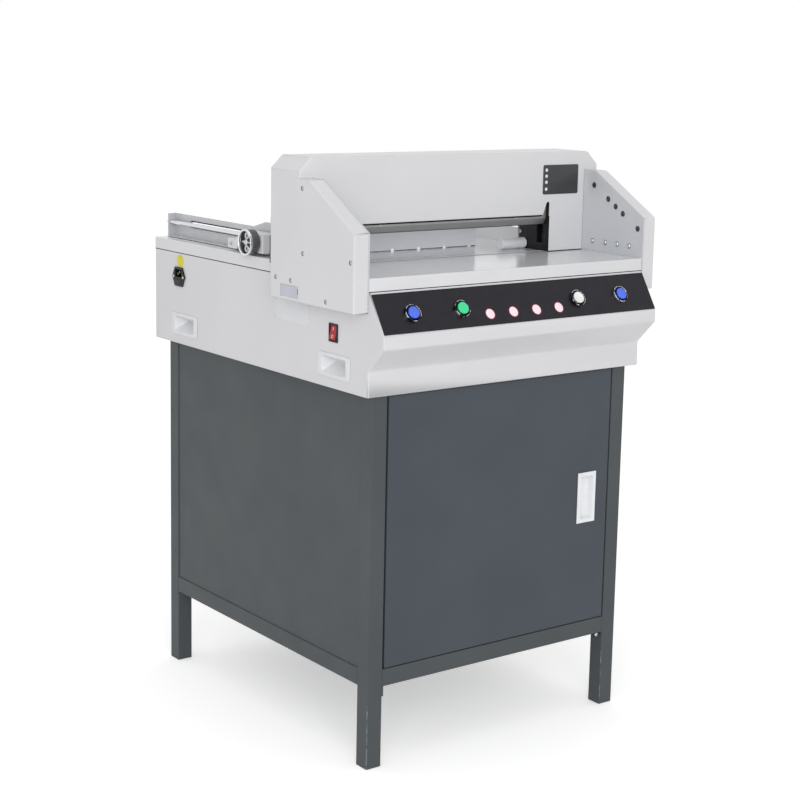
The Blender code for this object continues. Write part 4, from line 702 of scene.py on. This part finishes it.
def make_seams():
    """Black strips of painted shade where sheets meet the table, under and beside the column, and
    in the gap over the blade.
    """
    inset, proud, below, above = 0.0005, 0.0001, 0.0004, 0.0009
    low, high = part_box("work_table")
    lines = []
    for x in (low.x, high.x):
        inner, outer = sorted((x - math.copysign(0.0010, x), x + math.copysign(proud, x)))
        lines.append(block((inner, low.y + inset, low.z - below),
                           (outer, high.y - inset, low.z + above)))
    lines.append(block((low.x + inset, low.y - proud, low.z - below),
                       (high.x - inset, low.y + 0.0010, low.z + above)))
    # Painted shade: a black line under the table's edges.
    piece("table_shadow_line", merged(lines), "pitch")
    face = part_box("head_front_cover")[0].y
    # Painted shade under the column's foot and along its side.
    foot = block((0.2166, face - proud, TABLE_TOP + proud),
                 (0.2999, face + 0.0010, TABLE_TOP + 0.0016))
    side = block((0.2164, face - proud, TABLE_TOP + proud), (0.2173, face + 0.0012, 0.8990))
    piece("column_shadow_line", merged([foot, side]), "pitch")
    # Painted shade in the gap between the head's front and the blade.
    throat_shade = block((-0.2868, face + 0.0013, 0.8986), (0.2010, face + 0.0069, 0.9023), 0.0004, 2)
    piece("throat_shadow_strip", throat_shade, "pitch")


def scoop(mouth, floor, top, bottom):
    """A tapering hollow: half width, lowest and highest Y, at its mouth and at its floor."""
    bm = bmesh.new()
    rings = []
    for (half, low, high), z in ((mouth, top), (floor, bottom)):
        rings.append([bm.verts.new((x, y, z)) for x, y in
                      ((-half, low), (half, low), (half, high), (-half, high))])
    bm.faces.new(rings[0])
    bm.faces.new(rings[1])
    for step in range(4):
        bm.faces.new([rings[0][step], rings[0][(step + 1) % 4], rings[1][(step + 1) % 4],
                      rings[1][step]])
    bmesh.ops.recalc_face_normals(bm, faces=bm.faces)
    return bm


def make_cups():
    """Scooped hand recesses with a rounded mouth."""
    for end in ("front", "rear"):
        for side, out in SIDES:
            name = f"carry_cup_{end}_{side}"
            low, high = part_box(name)
            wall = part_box("lower_housing")[0 if out.x < 0 else 1].x
            place = Vector((wall, (low.y + high.y) / 2, (low.z + high.z) / 2))
            rim = soften(prism(rounded_outline(0.093, 0.040, 0.004), 0.0003, 0.0018), 0.0005, 2)
            body = block((-0.0385, -0.0160, -0.0240), (0.0385, 0.0160, 0.0010))
            mouth = scoop((0.0362, -0.0150, 0.0150), (0.0240, 0.0020, 0.0138), 0.0030, -0.0215)
            bm = moved(carved(rim, [soften(mouth, 0.0030, 4)], [body]), facing(place, out))
            piece(f"cup_scoop_{end}_{side}", bm, "cup", stands_for=[name], sharp=40)


def slot_rows(places, out):
    """Cutters for rows of rounded cooling slots."""
    return [moved(prism(rounded_outline(0.064, 0.0034, 0.0016), -0.0040, 0.0010),
                  facing(place, out)) for place in places]


def make_housing_shell():
    """The housing with cooling slots through its rear and right walls, and its rear screws."""
    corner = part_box("lower_housing")[1]
    levels = [0.7000 + 0.0090 * row for row in range(7)]
    cutters = slot_rows([(x, corner.y, z) for x in (-0.160, 0.160) for z in levels], REAR)
    cutters += slot_rows([(corner.x, 0.060, z + 0.022) for z in levels[:6]], RIGHT)
    screws = on_face("lower_housing", REAR, (-285, 665), (0, 665), (285, 665), (-285, 795),
                     (0, 795), (285, 795))
    cutters += [screw_sink(place, REAR) for place in screws]
    piece("housing_shell", carved(welded("lower_housing"), cutters), "white_paint",
          stands_for=["lower_housing"], flat=True)
    fasteners("housing_screws_rear", [place - REAR * SINK_DEPTH for place in screws], REAR,
              radius=0.0030, height=0.0010, style="sunk")


# Small parts on the head and the casings

def make_casing_details():
    """Cover screws in their seats, each ringed with painted shade, inner screws, and lenses over
    the light sensors.
    """
    ring = [(0.0030, -0.0011), (0.0040, -0.0003), (0.0040, -0.0001), (0.0030, -0.0009)]
    washer = [(0, -0.0002), (0.0048, -0.0002), (0.0048, 0.0002), (0, 0.0002)]
    dome = [(0, 0), (0.0046, 0), (0.0046, 0.0002), (0.0040, 0.0006), (0.0025, 0.0010),
            (0, 0.0012)]
    for side, out in SIDES:
        places = casing_screw_places(side, out)
        fasteners(f"casing_screws_{side}", [place - out * SINK_DEPTH for place in places], out,
                  radius=0.0032, height=0.0010, style="sunk", look="steel")
        # A grey ring in each seat paints the shade round the screw head.
        rings = [turned(ring, place, out, 36) for place in places]
        piece(f"casing_screw_seat_shade_{side}", merged(rings), "knurl")
        liner = on_face(f"casing_liner_{side}", -out, (-198.5, 852), (-232.5, 852),
                        (-263.7, 852), (-294.9, 852))
        washers = [turned(washer, place, -out, 36) for place in liner]
        piece(f"liner_washers_{side}", merged(washers), "dark_gap")
        fasteners(f"liner_screws_{side}", liner, -out, radius=0.0041, height=0.0020,
                  look="chrome")
    sensors = on_face("sensor_board_right", LEFT, (-198, 954.7), (-236.5, 932.7),
                      (-256.4, 920.0), (-275.7, 908.4), (-315, 884.8))
    piece("sensor_lenses", merged([turned(dome, place, LEFT, 32) for place in sensors]), "lens")


def thin_plate(name, look, size, radius, thick, place, out, edge=0.0001, segments=2):
    """A blank plate with rounded corners that lies on a face."""
    bm = soften(prism(rounded_outline(*size, radius), 0, thick), edge, segments)
    piece(name, moved(bm, facing(place, out)), look)


def make_plates():
    """Blank label plate on the head, blank rating plate and plain sticker on the side."""
    face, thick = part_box("head_front_cover")[0].y, 0.0008
    thin_plate("label_plate", "label", (0.085, 0.0534), 0.003, thick,
               (0.2414, face - GAP, 0.9651), FRONT, edge=0.0002)
    dot = [(0, 0), (0.0031, 0), (0.0031, 0.0001), (0.0029, 0.0002), (0, 0.0002)]
    dots = [turned(dot, (0.2065, face - thick - 2 * GAP, z), FRONT, 24)
            for z in (0.9825, 0.9715, 0.9605, 0.9480)]
    piece("label_dots", merged(dots), "mark")
    side, (y, z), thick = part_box("lower_housing")[0].x, (-0.1064, 0.7520), 0.0004
    thin_plate("rating_plate", "foil", (0.1064, 0.0366), 0.002, thick, (side - GAP, y, z), LEFT)
    rivets = [Vector((side - GAP - thick, y + along, z + up))
              for along in (-0.0500, 0.0500) for up in (-0.0150, 0.0150)]
    fasteners("rating_rivets", rivets, LEFT, radius=0.0015, height=0.0006, style="sunk")
    thin_plate("sticker_oval", "yellow", (0.0256, 0.0225), 0.0104, 0.0002,
               (side - GAP, 0.2745, 0.7965), LEFT, edge=0.00005, segments=1)


def make_knife_details():
    """Blade screws, a dark strip along the blade's lower edge, and bolts in the head's side
    frames.
    """
    low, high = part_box("knife_blade")
    places = [Vector((x, low.y, 0.8985)) for x in (-0.1594, 0.1419)]
    fasteners("blade_screws", places, FRONT, radius=0.0034, height=0.0018, style="socket",
              look="steel", body="knife", slot="polished_steel")
    edge = block((low.x + 0.0003, high.y - 0.0017, low.z),
                 (high.x - 0.0003, high.y - 0.0003, low.z + 0.0012))
    piece("blade_edge", edge, "chrome_dark", "knife")
    for side, out, corner in (("left", RIGHT, 1), ("right", LEFT, 0)):
        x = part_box(f"upright_{side}")[corner].x
        places = [Vector((x, -0.0930, z)) for z in (0.8640, 0.8800)]
        fasteners(f"upright_bolts_{side}", places, out, radius=0.0034, height=0.0030,
                  style="socket")


# Small parts on the housing's left side

def face_centre(name):
    """The middle of a node's left face."""
    low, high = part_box(name)
    return Vector((low.x, (low.y + high.y) / 2, (low.z + high.z) / 2))


def make_inlet_details():
    """Contact pins, flange screws and the fuse drawer's grip on the mains inlet."""
    centre, row, reach = face_centre("inlet_socket"), 0.0065, 0.0175
    pins = [block((x - 0.001, row + y - 0.0022, -0.0165), (x + 0.001, row + y + 0.0022, -0.0030),
                  0.0004) for x, y in ((-0.007, -0.002), (0.007, -0.002), (0.0, 0.002))]
    piece("inlet_pins", merged([moved(pin, facing(centre, LEFT)) for pin in pins]), "brass")
    fasteners("inlet_screws", [centre + REAR * reach, centre - REAR * reach], LEFT,
              radius=0.0026, height=0.0012, look="steel")
    grip = block((-0.006, -0.0006, -0.0004), (0.006, 0.0006, 0.0004), 0.0002)
    piece("fuse_grip", moved(grip, facing(face_centre("fuse_drawer"), LEFT)), "socket_black",
          "inlet_drawer")


def make_rocker_details():
    """The I and O marks on the rocker, set on its two tilted faces."""
    tilt = Matrix.Rotation(math.radians(-9), 4, "X")
    base = facing(Vector((-0.300, -0.232, 0.733)), LEFT) @ tilt
    bar = block((-0.0007, 0.0038, 0.00205), (0.0007, 0.0088, 0.00232), 0.0001, 1)
    ring = turned([(0.0021, 0), (0.0029, 0), (0.0029, 0.00025), (0.0021, 0.00025)],
                  (0, -0.0062, 0.00185), UP, 32)
    piece("rocker_marks", moved(merged([bar, ring]), base), "mark", "power_rocker")


# Backgauge

WHEEL_CENTRE = Vector((-0.296, 0.0215, 0.8573))
KNURL_TEETH, KNURL_TIP, KNURL_ROOT = 44, 0.0221, 0.0211


def knurled_drum():
    """The wheel's toothed rim, hollowed for the dish."""
    outline = []
    for step in range(KNURL_TEETH * 4):
        angle = 2 * math.pi * step / (KNURL_TEETH * 4)
        radius = KNURL_TIP if step % 4 in (0, 1) else KNURL_ROOT
        outline.append((radius * math.cos(angle), radius * math.sin(angle)))
    hollow = turned([(0, 0.0125), (0.0196, 0.0125), (0.0196, 0.0200), (0, 0.0200)])
    return carved(soften(prism(outline, 0.0012, 0.0162), 0.00015, 1), [hollow])


def make_hand_wheel():
    """Knurled wheel with a bright rim, a dished face with two lobes, and a hub."""
    axis = facing(WHEEL_CENTRE, LEFT)
    rim = [(0.0193, 0.0155), (0.0218, 0.0160), (0.0227, 0.0168), (0.0230, 0.0178),
           (0.0230, 0.0195), (0.0226, 0.0205), (0.0217, 0.0209), (0.0207, 0.0210),
           (0.0200, 0.0206), (0.0195, 0.0196)]
    dish = [(0, 0.0120), (0.0192, 0.0120), (0.0192, 0.0158), (0.0186, 0.0158),
            (0.0176, 0.0131), (0, 0.0131)]
    lobe = [(0.0028, 0.0128), (0.0062, 0.0128), (0.0064, 0.0150), (0.0058, 0.0160),
            (0.0046, 0.0162), (0.0034, 0.0158), (0.0028, 0.0150)]
    hub = [(0, 0.0128), (0.0052, 0.0128), (0.0052, 0.0172), (0.0044, 0.0182), (0.0030, 0.0186),
           (0, 0.0186)]
    shaft = [(0, -0.018), (0.004, -0.018), (0.004, 0.0014), (0, 0.0014)]
    piece("wheel_rim", turned(rim, WHEEL_CENTRE, LEFT, 96), "chrome", "wheel",
          stands_for=["hand_wheel"])
    piece("wheel_knurl", moved(knurled_drum(), axis), "knurl", "wheel")
    piece("wheel_dish", turned(dish, WHEEL_CENTRE, LEFT, 64), "socket_black", "wheel")
    spider = [moved(turned(lobe, (0, offset, 0), UP, 40), axis) for offset in (0.0113, -0.0113)]
    spider.append(turned(hub, WHEEL_CENTRE, LEFT, 48))
    spider.append(moved(block((-0.0170, -0.0016, 0.0128), (0.0170, 0.0016, 0.0150), 0.0006),
                        axis))
    piece("wheel_spider", merged(spider), "zinc", "wheel", "polished_steel")
    piece("wheel_shaft", turned(shaft, WHEEL_CENTRE, LEFT, 32), "steel", "wheel",
          "polished_steel")


def make_lock_lever():
    """The bent lever beside the wheel, drawn as its outline in Y and Z."""
    outline = [(0.0560, 0.8560), (0.0655, 0.8552), (0.0670, 0.8480), (0.0735, 0.8415),
               (0.0725, 0.8393), (0.0655, 0.8415), (0.0580, 0.8465)]
    arm = soften(prism([(-y, z) for y, z in outline], -0.0002, 0.0034), 0.0006, 2)
    piece("gauge_lock_lever", moved(arm, facing((WHEEL_CENTRE.x, 0, 0), LEFT)), "black", "gauge")


def make_rail_details():
    """Screws, a black strip of painted shade along the rail's foot, two more along the lips of its
    slot, and carriage screws.
    """
    low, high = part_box("gauge_rail")
    places = [Vector((low.x + 0.0055, y, low.z + 0.0027)) for y in (0.170, 0.240, 0.320)]
    fasteners("rail_screws", places, UP, radius=0.0032, height=0.0012)
    # Painted shade along the rail's foot on the table.
    foot = block((low.x - 0.0001, low.y + 0.0005, TABLE_TOP + GAP),
                 (low.x + 0.0010, high.y - 0.0070, TABLE_TOP + 0.0008))
    piece("rail_foot_shadow", foot, "pitch")
    web = high.x - 0.003
    # Painted shade along the slot's two lips, so the slot reads dark.
    slot_shade_strips = [block((web - 0.0001, -0.0720, foot_z), (web + 0.0024, 0.3010, top_z), 0.0001, 1)
               for foot_z, top_z in ((0.8546, 0.8566), (0.8660, 0.8682))]
    piece("slot_lip_shadows", merged(slot_shade_strips), "pitch")
    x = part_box("gauge_carriage")[0].x
    fasteners("carriage_screws", [Vector((x, 0.0500, 0.8665)), Vector((x, 0.0980, 0.8470))], LEFT,
              radius=0.0030, height=0.0026, style="socket", look="steel", body="gauge")


def make_fence_foot():
    """A dark strip of painted shade along the fence's foot, parted where its notches are."""
    first, pitch, notch, count = 0.010, 0.0594, 0.008, 8
    low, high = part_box("backgauge")
    foot_shade_strips, right = [], high.x
    for index in range(count):
        left = high.x - first - pitch * index
        # Painted shade under the fence's foot.
        foot_shade_strips.append(block((max(left, low.x + 0.0005), low.y - 0.0002, TABLE_TOP + 0.0003),
                            (right, low.y + 0.0010, TABLE_TOP + 0.0015)))
        right = left - notch
        if right < low.x + 0.003:
            break
    piece("fence_foot_shadow", merged(foot_shade_strips), "rubber", "gauge")


def make_table_marks():
    """Fine ticks let into the table in front of the fence."""
    count, start, reach, thick = 47, -0.154, 0.229, 0.00012
    ticks = []
    for index in range(count):
        share = index / (count - 1)
        x, y = start + reach * share, -0.128 - 0.008 * share
        length = 0.004 if index % 5 else 0.007
        ticks.append(block((x - 0.00025, y, TABLE_TOP + GAP),
                           (x + 0.00025, y + length, TABLE_TOP + GAP + thick)))
    piece("table_ticks", merged(ticks), "label")


# Stand and rear

def make_louvres():
    """Pressed hoods on the cabinet's rear panel, each over a black slit of painted shade where its
    opening is.
    """
    top, pitch, rows = 0.5200, 0.0150, 6
    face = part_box("rear_panel")[1].y
    hoods, shade_slits = [], []
    for x in (-0.060, 0.060):
        for row in range(rows):
            frame_out = facing((x, face, top - pitch * row), REAR)
            hoods.append(moved(block((-0.0450, 0.0, -0.0004), (0.0450, 0.0070, 0.0040), 0.0018),
                               frame_out))
            # Painted shade: a black slit under each hood.
            shade_slits.append(moved(block((-0.0420, -0.0012, -0.0003), (0.0420, 0.0006, 0.0016)),
                               frame_out))
    piece("rear_louvres", merged(hoods), "stand_paint")
    piece("rear_louvre_shade", merged(shade_slits), "pitch")


def make_panel_screws():
    """Screws round the head's rear cover and the cabinet's rear and right panels."""
    for name, node, out, radius, height, points in (
            ("head_screws_rear", "head_rear_cover", REAR, 0.0030, 0.0020,
             ((-280, 985), (-95, 985), (95, 985), (280, 985), (-280, 930), (280, 930))),
            ("rear_panel_screws", "rear_panel", REAR, 0.0034, 0.0018,
             ((-235, 590), (0, 590), (235, 590), (-235, 190), (0, 190), (235, 190),
              (-235, 390), (235, 390))),
            ("side_panel_screws", "side_panel_right", RIGHT, 0.0034, 0.0018,
             ((-270, 590), (0, 590), (270, 590), (-270, 190), (0, 190), (270, 190)))):
        fasteners(name, on_face(node, out, *points), out, radius, height)


def make_stand_details():
    """The hinge tab at the door's upper left, and a bolt with its nut under the front rail."""
    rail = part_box("rail_front")[0].z
    low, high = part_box("leg_front_left")
    tab = block((high.x + GAP, low.y + 0.0004, rail - 0.0175),
                (high.x + 0.0032, low.y + 0.0120, rail - GAP), 0.0006)
    piece("hinge_tab", tab, "stand_paint")
    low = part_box("leg_front_right")[0]
    place = Vector((low.x - 0.0085, low.y + 0.006, rail - 0.0048))
    fasteners("rail_bolt", [place], FRONT, radius=0.0042, height=0.0026, look="steel")
    nut = turned([(0, 0.0008), (0.0056, 0.0008), (0.0056, 0.0090), (0, 0.0090)], place, REAR, 6)
    lug = block((low.x - 0.0160, low.y + 0.0085, rail - 0.0100),
                (low.x - GAP, low.y + 0.0110, rail - GAP), 0.0005)
    piece("rail_bolt_nut", merged([nut, lug]), "rubber")


# Studio

WORLD_LEVEL, SEEN_LEVEL = 0.67, 1.0
FLOOR_SIZE, FLOOR_DROP, FLOOR_GLOW = 14.0, 0.0004, 0.42
SEEN_RAYS = ("Is Camera Ray", "Is Glossy Ray", "Is Transmission Ray")
WHITE = (1.0, 1.0, 1.0, 1.0)


def make_floor():
    """A pale floor that reaches white away from the object and keeps its shadow."""
    made = Finish("floor_white")
    path = made.node("ShaderNodeLightPath")
    seen = path.outputs[SEEN_RAYS[0]]
    for ray in SEEN_RAYS[1:]:
        seen = made.math("ADD", seen, path.outputs[ray], True)
    made.set(Base_Color=made.mix(made.noise(0.8, 2.0), tone(244, 244, 244), tone(241, 241, 241)),
             Roughness=0.8, Emission_Color=WHITE, Specular_IOR_Level=0.1,
             Emission_Strength=made.math("MULTIPLY", seen, FLOOR_GLOW))
    bm = bmesh.new()
    bmesh.ops.create_grid(bm, x_segments=24, y_segments=24, size=FLOOR_SIZE)
    mesh = bpy.data.meshes.new("floor")
    bm.to_mesh(mesh)
    bm.free()
    mesh.materials.append(made.material)
    floor = bpy.data.objects.new("floor", mesh)
    floor.location = (0, 0, -FLOOR_DROP)
    bpy.context.scene.collection.objects.link(floor)


def make_world():
    """A white surround for what is seen, and a plain soft light for what is lit."""
    world = bpy.data.worlds.new("studio")
    bpy.context.scene.world = world
    world.use_nodes = True
    tree = world.node_tree
    tree.nodes.clear()
    path = tree.nodes.new("ShaderNodeLightPath")
    total = path.outputs[SEEN_RAYS[0]]
    for ray in SEEN_RAYS[1:]:
        add = tree.nodes.new("ShaderNodeMath")
        add.operation, add.use_clamp = "ADD", True
        tree.links.new(total, add.inputs[0])
        tree.links.new(path.outputs[ray], add.inputs[1])
        total = add.outputs[0]
    blend = tree.nodes.new("ShaderNodeMixShader")
    tree.links.new(total, blend.inputs[0])
    for socket, level in ((1, WORLD_LEVEL), (2, SEEN_LEVEL)):
        shade = tree.nodes.new("ShaderNodeBackground")
        shade.inputs["Color"].default_value = WHITE
        shade.inputs["Strength"].default_value = level
        tree.links.new(shade.outputs[0], blend.inputs[socket])
    out = tree.nodes.new("ShaderNodeOutputWorld")
    tree.links.new(blend.outputs[0], out.inputs["Surface"])


def area_light(name, place, target, size, power):
    """A rectangular lamp that looks at a target."""
    data = bpy.data.lights.new(name, "AREA")
    data.shape, data.size, data.size_y, data.energy = "RECTANGLE", size[0], size[1], power
    lamp = bpy.data.objects.new(name, data)
    lamp.location = place
    lamp.rotation_mode = "QUATERNION"
    lamp.rotation_quaternion = (Vector(target) - Vector(place)).to_track_quat("-Z", "Y")
    bpy.context.scene.collection.objects.link(lamp)


def make_lights():
    """A broad key light from the front left, and a weak one from above."""
    area_light("key", place=(-2.45, -3.65, 1.95), target=(0, 0, 0.75), size=(2.6, 2.2), power=74)
    area_light("top", place=(-0.4, 0.2, 3.8), target=(0, 0, 0.8), size=(3.0, 3.0), power=8)


def make_camera():
    """The photograph's view: from the front left, a little above the table."""
    place, ahead = Vector((-1.8684, -2.5038, 1.1834)), Vector((0.5914, 0.7882, -0.1703))
    roll = math.radians(1.164)
    data = bpy.data.cameras.new("camera")
    data.lens, data.sensor_width, data.shift_y = 76.84, 36.0, -0.0625
    camera = bpy.data.objects.new("camera", data)
    ahead.normalize()
    across = ahead.cross(UP).normalized()
    above = across.cross(ahead)
    across, above = (across * math.cos(roll) + above * math.sin(roll),
                     above * math.cos(roll) - across * math.sin(roll))
    turn = Matrix((across, above, -ahead)).transposed().to_4x4()
    camera.matrix_world = Matrix.Translation(place) @ turn
    bpy.context.scene.collection.objects.link(camera)
    bpy.context.scene.camera = camera


dress_nodes()
make_buttons()
make_panel_discs()
make_head_shell()
make_pocket()
make_seams()
make_cups()
make_casing_details()
make_plates()
make_inlet_details()
make_rocker_details()
make_hand_wheel()
make_lock_lever()
make_knife_details()
make_table_marks()
make_housing_shell()
make_louvres()
make_panel_screws()
make_stand_details()
make_rail_details()
make_fence_foot()
make_floor()
make_world()
make_lights()
make_camera()
bpy.context.scene.view_settings.view_transform = "Standard"
